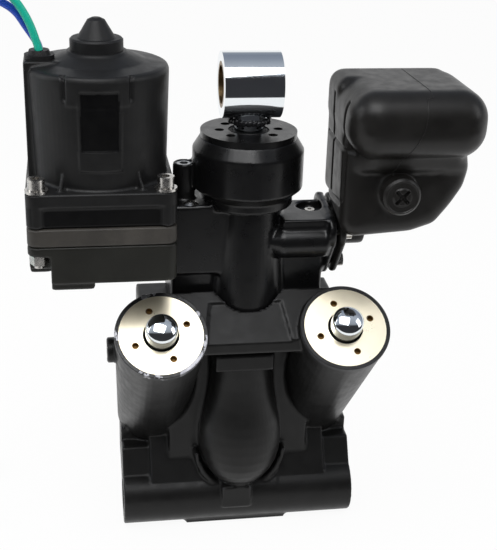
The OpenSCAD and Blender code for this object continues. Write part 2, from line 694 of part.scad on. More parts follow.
module arm_plug() color(chrome) translate([arm_recess_x, arm_recess_y, arm_top_z - arm_recess_depth]) {
  translate([0, 0, -arm_plug_len]) cylinder(r = arm_plug_r, h = arm_plug_len);
  difference() {
    cylinder(r1 = arm_plug_head_r, r2 = arm_plug_head_r * arm_plug_top_share, h = arm_plug_head_h);
    translate([0, 0, arm_plug_head_h / 2]) cylinder(r = arm_plug_r / 2, h = arm_plug_head_h, $fn = 6);
  }
}

// Reservoir: a blow-moulded tank on the arm's flange, with its fill plug
tank_left_x = 49;
tank_right_x = tank_left_x + tank_w;
tank_front_y = -76;
tank_back_y = tank_front_y + tank_d;
tank_lift = 14;
tank_low_z = arm_z + tank_lift;
tank_top_z = tank_low_z + tank_h;
tank_round = 17;
tank_corner = 9;
tank_back_rise = 12;
tank_bulge_share = 0.75;
tank_bulge_z = tank_low_z + tank_h * tank_bulge_share;
tank_bulge_out = 17;
tank_face_y = tank_front_y + tank_bulge_out;
tank_shelf_in = 8;
tank_bulge_back_y = tank_face_y + 2 * tank_round;
tank_neck_r = 11;
tank_neck_len = 20;
oil_way_r = 6;
tank_flange_t = 5;
tank_bolt_r = 2.5;
tank_bolt_head_r = 4.4;
tank_bolt_head_h = 4;
tank_seal_h = 1.5;
plug_right_share = 0.4;
plug_up_share = 0.33;
plug_x = tank_left_x + tank_w * plug_right_share;
plug_z = tank_low_z + tank_h * plug_up_share;
plug_head_h = 8;
plug_neck_r = 8;
plug_neck_len = 13;
plug_boss_h = 3;
plug_slot_w = 2.2;
plug_slot_len = 11;
plug_slot_depth = 2.5;
plug_edge = 2;

// Middles of the lower body's rounded edges, as shares of the tank's width and height
tank_sweep_shares =
  [[0.83, 0.46], [0.81, 0.375], [0.735, 0.265], [0.65, 0.165], [0.515, 0.125], [0.12, 0.1]];
tank_shelf_shares = [[0.83, 0.6], [0.12, 0.72]];
module tank_form(grow) {
  r = tank_round + grow;
  c = tank_corner + grow;
  // Upper bulge
  hull() for (x = [tank_left_x + tank_round, tank_right_x - tank_round])
    for (y = [tank_front_y + tank_round, tank_back_y - tank_round])
      for (z = [tank_bulge_z, tank_top_z - tank_round]) translate([x, y, z]) sphere(r = r, $fn = 32);
  // Lower body with its swept corner, and the shelf that it meets the bulge with
  hull() {
    for (p = tank_sweep_shares)
      translate([tank_left_x + tank_w * p[0], tank_face_y + tank_corner, tank_low_z + tank_h * p[1]])
      sphere(r = c, $fn = 32);
    for (p = tank_sweep_shares)
      translate([tank_left_x + tank_w * p[0], tank_back_y - tank_corner,
      tank_low_z + tank_h * p[1] + tank_back_rise])
      sphere(r = c, $fn = 32);
    for (p = tank_shelf_shares)
      for (y = [tank_face_y + tank_corner + tank_shelf_in, tank_back_y - tank_corner])
      translate([tank_left_x + tank_w * p[0], y, tank_low_z + tank_h * p[1]]) sphere(r = c, $fn = 32);
  }
  // Back corners at the top, rounded less than the bulge
  hull() for (x = [tank_left_x + tank_corner, tank_right_x - tank_round])
    for (z = [tank_bulge_z, tank_top_z - tank_corner])
    for (y = [tank_bulge_back_y, tank_back_y - tank_corner]) translate([x, y, z]) sphere(r = c, $fn = 32);
}

module reservoir_tank() color(plastic_black) difference() {
  union() {
    tank_form(0);
    // Flange and the neck that joins it to the tank's left bottom corner
    arm_flange(arm_end_x + tank_seal_h, tank_flange_t);
    translate([arm_end_x + tank_seal_h, arm_plate_y, arm_plate_z]) rotate([0, 90, 0])
      cylinder(r = tank_neck_r, h = tank_neck_len);
    block([arm_end_x + tank_seal_h, arm_plate_y - tank_neck_r, arm_plate_z],
      [arm_end_x + tank_seal_h + tank_neck_len, arm_plate_y + tank_neck_r,
        tank_low_z + tank_back_rise + tank_corner / 2]);
    translate([plug_x, tank_face_y + tank_wall, plug_z]) rotate([90, 0, 0])
      cylinder(r = plug_neck_r + tank_wall, h = tank_wall + plug_boss_h);
  }
  tank_form(-tank_wall);
  translate([plug_x, tank_face_y + 2 * tank_wall, plug_z]) rotate([90, 0, 0])
    cylinder(r = plug_neck_r + run, h = trim_ahead);
  // Oil way through the neck
  translate([arm_end_x, arm_plate_y, arm_plate_z]) rotate([0, 90, 0])
    cylinder(r = oil_way_r, h = tank_neck_len - tank_wall);
  translate([arm_end_x + tank_neck_len - 2 * tank_wall - oil_way_r / 2, arm_plate_y, arm_plate_z])
    cylinder(r = oil_way_r - cut, h = tank_low_z - arm_plate_z + tank_back_rise + tank_corner);
  at_arm_bolts(arm_end_x - cut) cylinder(r = tank_bolt_r + seat, h = 2 * cut + tank_seal_h + tank_flange_t);
  at_arm_bolts(arm_end_x + tank_seal_h + tank_flange_t)
    cylinder(r = tank_bolt_head_r + 2 * gap, h = 2 * tank_bolt_head_h);
}

module reservoir_bolts() color(stainless) at_arm_bolts(arm_end_x - arm_plate_t) {
  cylinder(r = tank_bolt_r, h = arm_plate_t + tank_seal_h + tank_flange_t);
  translate([0, 0, arm_plate_t + tank_seal_h + tank_flange_t]) difference() {
    cylinder(r = tank_bolt_head_r, h = tank_bolt_head_h);
    translate([0, 0, tank_bolt_head_h / 2])
      cylinder(r = tank_bolt_r * hex_share, h = tank_bolt_head_h, $fn = 6);
  }
}
module reservoir_seal() color(rubber) translate([arm_end_x, arm_plate_y, arm_plate_z]) rotate([0, 90, 0])
  ring(tank_neck_r, oil_way_r + tank_seal_h, tank_seal_h);

plug_face_y = tank_face_y - plug_boss_h;
module fill_plug() color(plastic_black) translate([plug_x, plug_face_y, plug_z]) rotate([90, 0, 0])
  difference() {
  union() {
    translate([0, 0, 2 * seat]) cylinder(r = plug_d / 2, h = plug_head_h - plug_edge);
    translate([0, 0, plug_head_h - plug_edge])
      cylinder(r1 = plug_d / 2, r2 = plug_d / 2 - plug_edge, h = plug_edge);
    translate([0, 0, -plug_neck_len]) cylinder(r = plug_neck_r, h = plug_neck_len + plug_edge);
  }
  translate([0, 0, plug_head_h - plug_slot_depth]) for (a = [45, 135]) rotate([0, 0, a])
    translate([-plug_slot_len / 2, -plug_slot_w / 2, 0])
      cube([plug_slot_len, plug_slot_w, plug_slot_depth + cut]);
  translate([0, 0, -plug_boss_h]) rotate_extrude() translate([plug_neck_r, 0])
    circle(r = oring_r / 2 + seat, $fn = 24);
}
module fill_plug_oring() color(rubber) translate([plug_x, plug_face_y + plug_boss_h, plug_z])
  rotate([90, 0, 0]) intersection() {
  torus(plug_neck_r - seat, oring_r / 2 - seat);
  translate([0, 0, -plug_neck_len]) cylinder(r = plug_neck_r, h = 2 * plug_neck_len);
}

// Pump: housing with its two gears, cover, screen and check balls, under the grey plate
plate_top_z = flange_z - flange_t;
pump_top_z = plate_top_z - plate_t;
pump_low_z = pump_top_z - pump_h;
flange_round = 6;
bolt_in = 6.5;
bolt_half = flange_w / 2 - bolt_in;
pump_notch_x = 13;
pump_notch_y = 24;
pump_rear_drop = 5;
tab_pump_in = 4;
tab_pump_w = 25;
tab_pump_d = 12;
tab_pump_h = 5.5;
gear_teeth = 12;
gear_mid_r = 9;
cover_y = 9;
gear_tooth = 1.5;
gear_h = 9;
gear_roof = 5;
gear_low_z = pump_top_z - gear_roof - gear_h;
gear_pocket_r = gear_mid_r + gear_tooth + run * 2;
cover_h = 4.5;
cover_r = 22;
gear_shaft_r = 4;
check_r = 3;
check_in = 17;
check_x = flange_w / 2 - check_in;
check_apart = 28;
check_y = [-check_apart / 2, check_apart / 2];
check_depth = 11;
screen_r = 7;
screen_in = 19;
screen_x = screen_in - flange_w / 2;
screen_h = 2;
motor_shaft_r = 4;
corner_nut_r = 5.6;
corner_nut_h = 5.5;
flange_bolt_bite = 14;

module at_flange_bolts(z) for (x = [-1, 1]) for (y = [-1, 1]) at_motor(z)
  translate([x * bolt_half, y * bolt_half, 0]) children();
module gear_places() {
  children();
  translate([0, 2 * gear_mid_r, 0]) children();
}
module pump_housing() color(olive_black) {
  difference() {
    union() {
      difference() {
        at_motor(pump_low_z) slab(flange_w, flange_w, pump_h, flange_round);
        // Corner left open around the front bolt's nut
        at_motor(0) block([-flange_w / 2 - cut, -flange_w / 2 - cut, pump_low_z - cut],
          [pump_notch_x - flange_w / 2, pump_notch_y - flange_w / 2, pump_top_z - flange_round]);
      }
      // Feet under the front edge and the rear corner
      at_motor(pump_low_z - pump_rear_drop)
        block([-flange_w / 2, pump_notch_y - flange_w / 2 + flange_round, 0],
        [pump_notch_x - flange_w / 2, flange_w / 2 - flange_round * 2, pump_h / 2]);
      at_motor(pump_low_z - tab_pump_h) block([pump_notch_x - flange_w / 2, tab_pump_in - flange_w / 2, 0],
        [pump_notch_x - flange_w / 2 + tab_pump_w, tab_pump_in - flange_w / 2 + tab_pump_d, pump_h / 2]);
    }
    at_motor(gear_low_z) gear_places() cylinder(r = gear_pocket_r, h = gear_h + pump_h);
    at_motor(pump_top_z - cover_h) translate([0, cover_y, 0])
      cylinder(r = cover_r + seat, h = cover_h + cut);
    for (y = check_y) at_motor(pump_top_z - check_depth) translate([check_x, y, 0])
      cylinder(r = check_r + run, h = check_depth + cut);
    at_motor(pump_top_z - screen_h) translate([screen_x, screen_x, 0])
      cylinder(r = screen_r + seat, h = screen_h + cut);
    at_motor(pump_low_z + pump_rear_drop) translate([screen_x, screen_x, 0])
      cylinder(r = screen_r - screen_h, h = pump_h);
    // Holes of the flange bolts and of the bolts from the ledge
    at_flange_bolts(pump_top_z - flange_bolt_bite) cylinder(r = flange_bolt_d / 2 + seat, h = pump_h);
    for (y = pump_bolt_y) translate([pump_bolt_x, y, pump_low_z - cut])
      cylinder(r = pump_bolt_r + seat, h = pump_bolt_bite + cut);
  }
  // Post that the driven gear turns on
  at_motor(gear_low_z - seat) translate([0, 2 * gear_mid_r, 0])
    cylinder(r = gear_shaft_r, h = gear_h + seat);
}
gear_root_r = gear_mid_r - gear_tooth - run * 2;
gear_tip_r = gear_mid_r + gear_tooth - run * 4;
gear_root_share = 0.33;
gear_tip_share = 0.09;
function gear_point(r, a) = [r * cos(a), r * sin(a)];
gear_outline = [for (i = [0:gear_teeth - 1]) for (q = [
  [gear_root_r, i - gear_root_share], [gear_tip_r, i - gear_tip_share],
  [gear_tip_r, i + gear_tip_share], [gear_root_r, i + gear_root_share]
]) gear_point(q[0], q[1] * 360 / gear_teeth)];
module gear(phase) difference() {
  rotate([0, 0, phase]) linear_extrude(gear_h) polygon(gear_outline);
  translate([0, 0, -cut]) cylinder(r = gear_shaft_r + run, h = gear_h + 2 * cut);
}
module drive_gear() color(steel) at_motor(gear_low_z + seat) gear(90);
module driven_gear() color(steel) at_motor(gear_low_z + seat) translate([0, 2 * gear_mid_r, 0])
  gear(-90 + 180 / gear_teeth);
module gear_cover() color(steel) at_motor(pump_top_z - cover_h) difference() {
  translate([0, cover_y, 0]) cylinder(r = cover_r, h = cover_h);
  translate([0, 0, -cut]) cylinder(r = motor_shaft_r + run, h = cover_h + 2 * cut);
}
module inlet_screen() color(stainless) at_motor(pump_top_z - screen_h) translate([screen_x, screen_x, 0])
  cylinder(r = screen_r, h = screen_h - seat);
module check_balls() color(chrome) for (y = check_y) at_motor(pump_top_z - check_depth + check_r)
  translate([check_x, y, 0]) sphere(r = check_r, $fn = 32);
module corner_nut() color(stainless) at_motor(pump_top_z - flange_round - corner_nut_h)
  translate([-bolt_half, -bolt_half, 0]) difference() {
  cylinder(r = corner_nut_r, h = corner_nut_h, $fn = 6);
  translate([0, 0, -cut]) cylinder(r = flange_bolt_d / 2 + seat, h = corner_nut_h + 2 * cut);
}
module pump_bolts() color(stainless) for (y = pump_bolt_y)
  translate([pump_bolt_x, y, pump_low_z - pump_ledge_h]) {
  cylinder(r = pump_bolt_r, h = pump_ledge_h + pump_bolt_bite - seat);
  translate([0, 0, -pump_bolt_head_h]) difference() {
    cylinder(r = pump_bolt_head_r, h = pump_bolt_head_h);
    translate([0, 0, -cut]) cylinder(r = pump_bolt_r * hex_share, h = pump_bolt_head_h / 2 + cut, $fn = 6);
  }
}
module adapter_plate() color(grey_cast) difference() {
  at_motor(pump_top_z) slab(flange_w, flange_w, plate_t, flange_round);
  at_motor(pump_top_z - cut) cylinder(r = motor_shaft_r + run, h = plate_t + 2 * cut);
  at_flange_bolts(pump_top_z - cut) cylinder(r = flange_bolt_d / 2 + seat, h = plate_t + 2 * cut);
}

// Motor: housing, magnets, armature and brushes
motor_r = motor_d / 2;
motor_wall = 3.5;
rim_round = 3;
dome_r = 28;
dome_step = 1.5;
cap_ring_r = 15.3;
cap_seat_up = 7;
cap_seat_z = motor_rim_z + cap_seat_up;
cap_ring_h = 7;
cap_cone_h = 10;
cap_cone_r = 11;
cap_tip_r = 5;
cap_tip_h = 1.2;
cap_edge = 1;
band_in = 1.6;
band_h = 13;
duct_half_d = 11;
duct_y = -3;
duct_up = 3;
duct_top_z = motor_rim_z + duct_up;
gland_in = 9;
gland_x = gland_in - motor_r;
gland_y = -4;
gland_r = 5.6;
lead_way_drop = 12;
rib_t = 2.2;
rib_h = 15;
rib_out = 6;
rib_angles = [-122, -58, 58, 122];
label_w = 21;
label_h = 33;
label_low_z = 261;
label_in = 0.8;
magnet_t = 6;
magnet_up = 4;
magnet_low_z = flange_z + magnet_up;
magnet_h = 46;
magnet_arc = 130;
core_r = 29;
core_up = 6;
core_low_z = flange_z + core_up;
core_h = 40;
core_slots = 12;
core_slot_w = 3;
core_slot_d = 9;
comm_r = 11;
comm_h = 12;
comm_gap = 1;
brush_up = 4;
brush_plate_z = core_low_z + core_h + brush_up;
brush_plate_t = 2.5;
brush_w = 6;
brush_len = 12;
shaft_up = 3;
shaft_top_z = cap_seat_z + shaft_up;

motor_outline = [
  [0, flange_z - flange_t / 2], [motor_r - rim_round / 2,
    flange_z - flange_t / 2], [motor_r - rim_round / 2, flange_z + rim_round],
  [motor_r, motor_rim_z - 2 * rim_round], [motor_r, motor_rim_z - rim_round], [motor_r - rim_round * 0.3,
    motor_rim_z - rim_round * 0.3],
  [motor_r - rim_round, motor_rim_z], [dome_r, motor_rim_z + dome_step], [cap_ring_r + rim_round,
    cap_seat_z - rim_round / 2],
  [cap_ring_r + rim_round / 2, cap_seat_z], [0, cap_seat_z]
];

module motor_housing() color(satin_black) difference() {
  union() {
    at_motor() rotate_extrude() polygon(motor_outline);
    // Square flange with its inset band between corner posts
    at_motor(plate_top_z + band_h) slab(flange_w, flange_w, flange_t - band_h, flange_round);
    at_motor(plate_top_z) slab(flange_w - 2 * band_in, flange_w - 2 * band_in, band_h, flange_round);
    at_motor(plate_top_z) for (x = [-1, 1]) for (y = [-1, 1])
      translate([x * (flange_w / 2 - flange_round), y * (flange_w / 2 - flange_round), 0])
      cylinder(r = flange_round, h = band_h);
    // Ribs that stiffen the flange
    for (a = rib_angles) at_motor(0) rotate([0, 0, a])
      translate([motor_r - rim_round, rib_t / 2, flange_z - rib_t]) rotate([90, 0, 0])
      linear_extrude(rib_t) polygon([[0, 0], [rib_out + rim_round, 0], [0, rib_h]]);
    // Duct for the leads, with its flat top
    at_motor(flange_z - rib_t)
      block([-motor_r, duct_y - duct_half_d, 0],
      [-motor_r / 2, duct_y + duct_half_d, duct_top_z - flange_z + rib_t]);
  }
  // Space inside, open downwards
  at_motor(plate_top_z - cut)
    cylinder(r = motor_r - motor_wall - rim_round / 2, h = motor_rim_z - plate_top_z - motor_wall + cut);
  at_motor(motor_rim_z - 2 * motor_wall)
    cylinder(r = dome_r - motor_wall, h = motor_wall * 2 + dome_step - motor_wall / 2);
  at_motor(motor_rim_z - cut) cylinder(r = motor_shaft_r + run, h = motor_rim_z);
  // Way of the leads
  at_motor(motor_rim_z - lead_way_drop) translate([gland_x, gland_y, 0])
    cylinder(r = gland_r + seat, h = duct_top_z);
  // Bare label recess on the front
  at_motor(label_low_z)
    block([-label_w / 2, -motor_r - cut, 0], [label_w / 2, -motor_r + label_in + cut, label_h]);
  at_flange_bolts(plate_top_z - cut) cylinder(r = flange_bolt_d / 2 + seat, h = flange_t + 2 * cut);
}
module motor_top_cap() color(rubber) at_motor(cap_seat_z) difference() {
  union() {
    cylinder(r = cap_ring_r, h = cap_ring_h - cap_edge);
    translate([0, 0, cap_ring_h - cap_edge])
      cylinder(r1 = cap_ring_r, r2 = cap_ring_r - cap_edge, h = cap_edge);
    translate([0, 0, cap_ring_h]) cylinder(r1 = cap_cone_r, r2 = cap_tip_r, h = cap_cone_h);
    translate([0, 0, cap_ring_h + cap_cone_h]) cylinder(r1 = cap_tip_r, r2 = cap_tip_r / 2, h = cap_tip_h);
  }
  translate([0, 0, -cut]) cylinder(r = motor_shaft_r + gap, h = shaft_top_z - cap_seat_z + 2 * cut);
}

bolt_head_r = 4.9;
bolt_head_h = 6.5;
washer_r = 6.6;
washer_t = 1.5;
module motor_bolts() color(stainless) at_flange_bolts(flange_z + washer_t) {
  translate([0, 0, seat - flange_bolt_bite - plate_t - flange_t - washer_t])
    cylinder(r = flange_bolt_d / 2, h = flange_bolt_bite + plate_t + flange_t + washer_t);
  difference() {
    cylinder(r = bolt_head_r, h = bolt_head_h);
    translate([0, 0, bolt_head_h / 2])
      cylinder(r = flange_bolt_d / 2 * hex_share, h = bolt_head_h, $fn = 6);
  }
}
module motor_washers() color(stainless) at_flange_bolts(flange_z)
  ring(washer_r, flange_bolt_d / 2 + seat, washer_t);

magnet_r = motor_r - motor_wall - rim_round / 2 - seat;
module field_magnets() color("#4a4a4c") at_motor(magnet_low_z) for (a = [0, 180])
  rotate([0, 0, a - magnet_arc / 2]) rotate_extrude(angle = magnet_arc)
    translate([magnet_r - magnet_t, 0]) square([magnet_t, magnet_h]);
module armature_shaft() color(steel) at_motor() translate([0, 0, gear_low_z + seat])
  cylinder(r = motor_shaft_r, h = shaft_top_z - gear_low_z - seat);
module armature_core() color(copper) at_motor(core_low_z) difference() {
  cylinder(r = core_r, h = core_h);
  translate([0, 0, -cut]) cylinder(r = motor_shaft_r + seat, h = core_h + 2 * cut);
  for (i = [0:core_slots - 1]) rotate([0, 0, 360 * i / core_slots])
    translate([core_r - core_slot_d, -core_slot_w / 2, -cut])
    cube([core_slot_d + cut, core_slot_w, core_h + 2 * cut]);
}
module commutator() color(copper) at_motor(core_low_z + core_h + comm_gap)
  ring(comm_r, motor_shaft_r + seat, comm_h);
module brush_plate() color(plastic_black) at_motor(brush_plate_z) {
  difference() {
    cylinder(r = magnet_r, h = brush_plate_t);
    translate([0, 0, -cut]) cylinder(r = comm_r + gap * 4, h = brush_plate_t + 2 * cut);
  }
  for (a = [0, 180]) rotate([0, 0, a]) translate([comm_r + gap, -brush_w / 2, 0])
    cube([brush_len, brush_w, brush_w]);
}

// Gland and the two leads
gland_top = 5;
gland_flange_r = 8.5;
gland_flange_h = 2.5;
gland_deep = 8;
module motor_grommet() color(rubber) at_motor(duct_top_z) translate([gland_x, gland_y, 0]) {
  translate([0, 0, -gland_deep]) cylinder(r = gland_r, h = gland_deep);
  cylinder(r = gland_flange_r, h = gland_flange_h);
  translate([0, 0, gland_flange_h])
    cylinder(r1 = gland_r + cap_edge, r2 = gland_r, h = gland_top - gland_flange_h);
}

// A tube swept along chosen points: rings square to the route, joined face by face
function unit(v) = v / norm(v);
function smooth_point(p, i, t) =
  let (a = p[max(i - 1, 0)], b = p[i], c = p[i + 1], d = p[min(i + 2, len(p) - 1)])
  0.5 * (2 * b + (c - a) * t + (2 * a - 5 * b + 4 * c - d) * t * t + (3 * b - a - 3 * c + d) * t * t * t);
function route(p, steps) =
  [for (i = [0:len(p) - 2]) for (s = [0:steps - 1]) smooth_point(p, i, s / steps), p[len(p) - 1]];
function heading(p, i) = unit(p[min(i + 1, len(p) - 1)] - p[max(i - 1, 0)]);
function carry(p, i) = i == 0
  ? unit(cross(heading(p, 0), [0, 1, 0]))
  : let (h = heading(p, i), before = carry(p, i - 1)) unit(before - h * (before * h));
module tube(p, r, sides) {
  rings = [for (i = [0:len(p) - 1]) let (h = heading(p, i), u = carry(p, i), v = cross(h, u))
    for (k = [0:sides - 1]) p[i] + r * (u * cos(360 * k / sides) + v * sin(360 * k / sides))];
  last = (len(p) - 1) * sides;
  polyhedron(
    rings,
    concat(
      [[for (k = [0:sides - 1]) k]],
      [for (i = [0:len(p) - 2]) for (k = [0:sides - 1]) let (a = i * sides + k,
        b = i * sides + (k + 1) % sides) [a, a + sides, b + sides, b]],
      [[for (k = [0:sides - 1]) last + sides - 1 - k]]
    )
  );
}

// Routes of the leads: up out of the gland, over, down to the floor and along it
green_route = [
  [-123.8, -26.6, 319], [-124.8, -26.6, 323], [-127.4, -26.6, 331.5], [-131, -26.6, 339.5], [-136, -26.6,
    347],
  [-143, -27, 353.5], [-152, -28, 358], [-163, -29, 358], [-173, -30, 350], [-180, -31, 332], [-184, -31,
    300],
  [-185, -31, 260], [-185, -30, 210], [-185, -28, 160], [-185, -26, 100], [-185, -24, 50], [-186, -20, 10],
  [-187, -10, -9.5], [-187, 8, -15.9], [-187, 26, -17.4], [-186, 44, -17.6], [-185, 58, -17.6]
];
blue_route = [
  [-123.8, -21.4, 319], [-125.2, -21.4, 323], [-130.5, -21.4, 331.5], [-136.2, -21.4, 339.8], [-144,
    -21.4, 345],
  [-153, -21, 347], [-162, -20, 345], [-170, -19, 337], [-175, -18, 322], [-178, -18, 300], [-179, -18,
    260],
  [-179, -18, 200], [-179, -18, 140], [-179, -16, 80], [-179, -12, 40], [-179, -4, 7], [-179, 8, -9.5],
  [-179, 24, -16.4], [-180, 40, -17.5], [-180, 58, -17.6]
];
module lead_green() color(teal) tube(route(green_route, 2), lead_d / 2, 8);
module lead_blue() color(blue) tube(route(blue_route, 2), lead_d / 2, 8);

// Two-way connector on the leads' far end
connector_l = 26;
connector_w = 15;
connector_h = 9;
connector_y = 58;
connector_x = -182.5;
module connector_body()
  block([connector_x - connector_w / 2, connector_y, floor_z],
  [connector_x + connector_w / 2, connector_y + connector_l, floor_z + connector_h]);
module lead_connector() color(plastic_black) difference() {
  connector_body();
  for (x = [-1, 1])
    translate([connector_x + x * connector_w / 4, connector_y + connector_l + cut,
    floor_z + connector_h / 2]) rotate([90, 0, 0]) cylinder(r = connector_h / 4, h = connector_l / 2);
}

trim_manifold();
pivot_bushes();
gallery_plugs();
at_trim(-1) trim_cap(spanner_turns[0]);  // left_trim_cap
at_trim(-1) trim_wiper();  // left_trim_wiper
at_trim(-1) trim_rod();  // left_trim_rod
at_trim(-1) trim_piston();  // left_trim_piston
at_trim(-1) trim_ring();  // left_trim_ring
at_trim(1) trim_cap(spanner_turns[1]);  // right_trim_cap
at_trim(1) trim_wiper();  // right_trim_wiper
at_trim(1) trim_rod();  // right_trim_rod
at_trim(1) trim_piston();  // right_trim_piston
at_trim(1) trim_ring();  // right_trim_ring
trim_cap_orings();
tilt_housing();
tilt_liner();
tilt_end_cap();
tilt_wiper();
tilt_cap_oring();
tilt_rod();
rod_eye();
eye_bushes();
tilt_piston();
tilt_piston_ring();
piston_nut();
shock_balls();
shock_springs();
free_piston();
free_piston_oring();
release_valve();
housing_bolts();
ledge_screw();
arm_plug();
reservoir_tank();
reservoir_bolts();
reservoir_seal();
fill_plug();
fill_plug_oring();
pump_housing();
adapter_plate();
drive_gear();
driven_gear();
gear_cover();
inlet_screen();
check_balls();
corner_nut();
pump_bolts();
motor_housing();
motor_top_cap();
motor_bolts();
motor_washers();
field_magnets();
armature_shaft();
armature_core();
commutator();
brush_plate();
motor_grommet();
lead_green();
lead_blue();
lead_connector();
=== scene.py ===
import json
import math

import bmesh
import bpy
import numpy as np
from mathutils import Matrix, Vector
from mathutils.bvhtree import BVHTree

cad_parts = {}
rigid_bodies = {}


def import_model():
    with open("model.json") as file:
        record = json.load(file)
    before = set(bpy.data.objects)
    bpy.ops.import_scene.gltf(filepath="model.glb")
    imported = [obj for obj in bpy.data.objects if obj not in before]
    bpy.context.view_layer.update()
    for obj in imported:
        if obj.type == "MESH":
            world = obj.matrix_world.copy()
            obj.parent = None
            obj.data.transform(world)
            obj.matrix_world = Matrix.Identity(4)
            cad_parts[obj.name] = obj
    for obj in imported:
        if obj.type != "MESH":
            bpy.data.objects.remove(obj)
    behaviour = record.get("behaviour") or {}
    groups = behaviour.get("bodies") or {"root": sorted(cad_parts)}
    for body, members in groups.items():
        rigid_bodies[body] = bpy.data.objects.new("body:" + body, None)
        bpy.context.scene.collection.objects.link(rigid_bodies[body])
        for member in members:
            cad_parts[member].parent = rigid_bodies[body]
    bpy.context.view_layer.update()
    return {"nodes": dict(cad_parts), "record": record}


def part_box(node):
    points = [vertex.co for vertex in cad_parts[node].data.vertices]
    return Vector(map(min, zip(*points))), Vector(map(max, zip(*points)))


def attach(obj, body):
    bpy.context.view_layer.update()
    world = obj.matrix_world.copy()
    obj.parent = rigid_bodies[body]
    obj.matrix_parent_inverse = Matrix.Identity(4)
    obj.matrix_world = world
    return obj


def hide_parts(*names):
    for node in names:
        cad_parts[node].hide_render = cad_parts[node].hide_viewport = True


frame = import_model()
print("frame loaded", len(frame["nodes"]), "nodes")

mm = 0.001
scene = bpy.context.scene
scene.view_settings.view_transform = "Standard"


# Every object made here, whether mesh, curve, lamp or camera, goes into the scene this way
def linked(name, data):
    obj = bpy.data.objects.new(name, data)
    scene.collection.objects.link(obj)
    return obj


# Camera at the photograph's angle: place and lens in mm, angles in degrees
camera = {
    "place": (-107.4, -662.9, 458.1),
    "pitch": 23.56, "yaw": 9.55, "roll": 1.89,
    "focal": 73.28, "sensor": 36,
    "clipStart": 0.01,
}


def makeCamera():
    pitch, yaw, roll = (math.radians(camera[k]) for k in ("pitch", "yaw", "roll"))
    level = math.cos(pitch)
    ahead = Vector((math.sin(yaw) * level, math.cos(yaw) * level, -math.sin(pitch)))
    right = Vector((math.cos(yaw), -math.sin(yaw), 0))
    up = right.cross(ahead)
    cosRoll, sinRoll = math.cos(roll), math.sin(roll)
    right, up = right * cosRoll + up * sinRoll, up * cosRoll - right * sinRoll
    data = bpy.data.cameras.new("camera")
    data.lens = camera["focal"]
    data.sensor_width = camera["sensor"]
    data.clip_start = camera["clipStart"]
    obj = linked("camera", data)
    turn = Matrix((right, up, -ahead)).transposed().to_4x4()
    obj.matrix_world = Matrix.Translation(Vector(camera["place"]) * mm) @ turn
    scene.camera = obj


makeCamera()
print("camera made")


# Procedural materials, all in object space so that each finish keeps its place on a moving piece
def nodeTools(name):
    mat = bpy.data.materials.new(name)
    mat.use_nodes = True
    tree = mat.node_tree
    return mat, tree, tree.nodes["Principled BSDF"]


def addNoise(tree, scale, detail=3.0, rough=0.55, stretch=None):
    coords = tree.nodes.new("ShaderNodeTexCoord")
    out = coords.outputs["Object"]
    if stretch:
        mapping = tree.nodes.new("ShaderNodeMapping")
        mapping.inputs["Scale"].default_value = stretch
        tree.links.new(out, mapping.inputs["Vector"])
        out = mapping.outputs["Vector"]
    tex = tree.nodes.new("ShaderNodeTexNoise")
    tex.inputs["Scale"].default_value = scale
    tex.inputs["Detail"].default_value = detail
    tex.inputs["Roughness"].default_value = rough
    tree.links.new(out, tex.inputs["Vector"])
    return tex.outputs["Fac"]


def ramp(tree, fac, stops):
    node = tree.nodes.new("ShaderNodeValToRGB")
    while len(node.color_ramp.elements) < len(stops):
        node.color_ramp.elements.new(0.5)
    for element, (at, colour) in zip(node.color_ramp.elements, stops):
        element.position = at
        element.color = (*colour, 1)
    tree.links.new(fac, node.inputs["Fac"])
    return node.outputs["Color"]


# The middle part of a noise, where most of it lies, spread from low to high
def mapRange(tree, fac, low, high):
    node = tree.nodes.new("ShaderNodeMapRange")
    node.inputs["From Min"].default_value = 0.3
    node.inputs["From Max"].default_value = 0.7
    node.inputs["To Min"].default_value = low
    node.inputs["To Max"].default_value = high
    tree.links.new(fac, node.inputs["Value"])
    return node.outputs["Result"]


bumpDistance = 0.0003  # in metres, for all grain and waves


def addBump(tree, shader, heights):
    last = None
    for height, strength in heights:
        bump = tree.nodes.new("ShaderNodeBump")
        bump.inputs["Strength"].default_value = strength
        bump.inputs["Distance"].default_value = bumpDistance
        tree.links.new(height, bump.inputs["Height"])
        if last is not None:
            tree.links.new(last, bump.inputs["Normal"])
        last = bump.outputs["Normal"]
    tree.links.new(last, shader.inputs["Normal"])


def shade(colour, k):
    return tuple(min(1.0, c * k) for c in colour)


# Handled castings show a little bare metal where an edge stands out
edgeWear = {"from": 0.53, "full": 0.62, "patch": 45, "metal": (0.09, 0.09, 0.1, 1)}


def addWear(tree, shader, plain, wear):
    shape = tree.nodes.new("ShaderNodeNewGeometry")
    edge = tree.nodes.new("ShaderNodeMapRange")
    edge.inputs["From Min"].default_value = edgeWear["from"]
    edge.inputs["From Max"].default_value = edgeWear["full"]
    edge.inputs["To Max"].default_value = wear
    tree.links.new(shape.outputs["Pointiness"], edge.inputs["Value"])
    patches = mapRange(tree, addNoise(tree, edgeWear["patch"], 5), 0, 1)
    both = tree.nodes.new("ShaderNodeMath")
    both.operation = "MULTIPLY"
    tree.links.new(edge.outputs["Result"], both.inputs[0])
    tree.links.new(patches, both.inputs[1])
    mix = tree.nodes.new("ShaderNodeMix")
    mix.data_type = "RGBA"
    tree.links.new(both.outputs[0], mix.inputs["Factor"])
    tree.links.new(plain, mix.inputs["A"])
    mix.inputs["B"].default_value = edgeWear["metal"]
    tree.links.new(mix.outputs["Result"], shader.inputs["Base Color"])


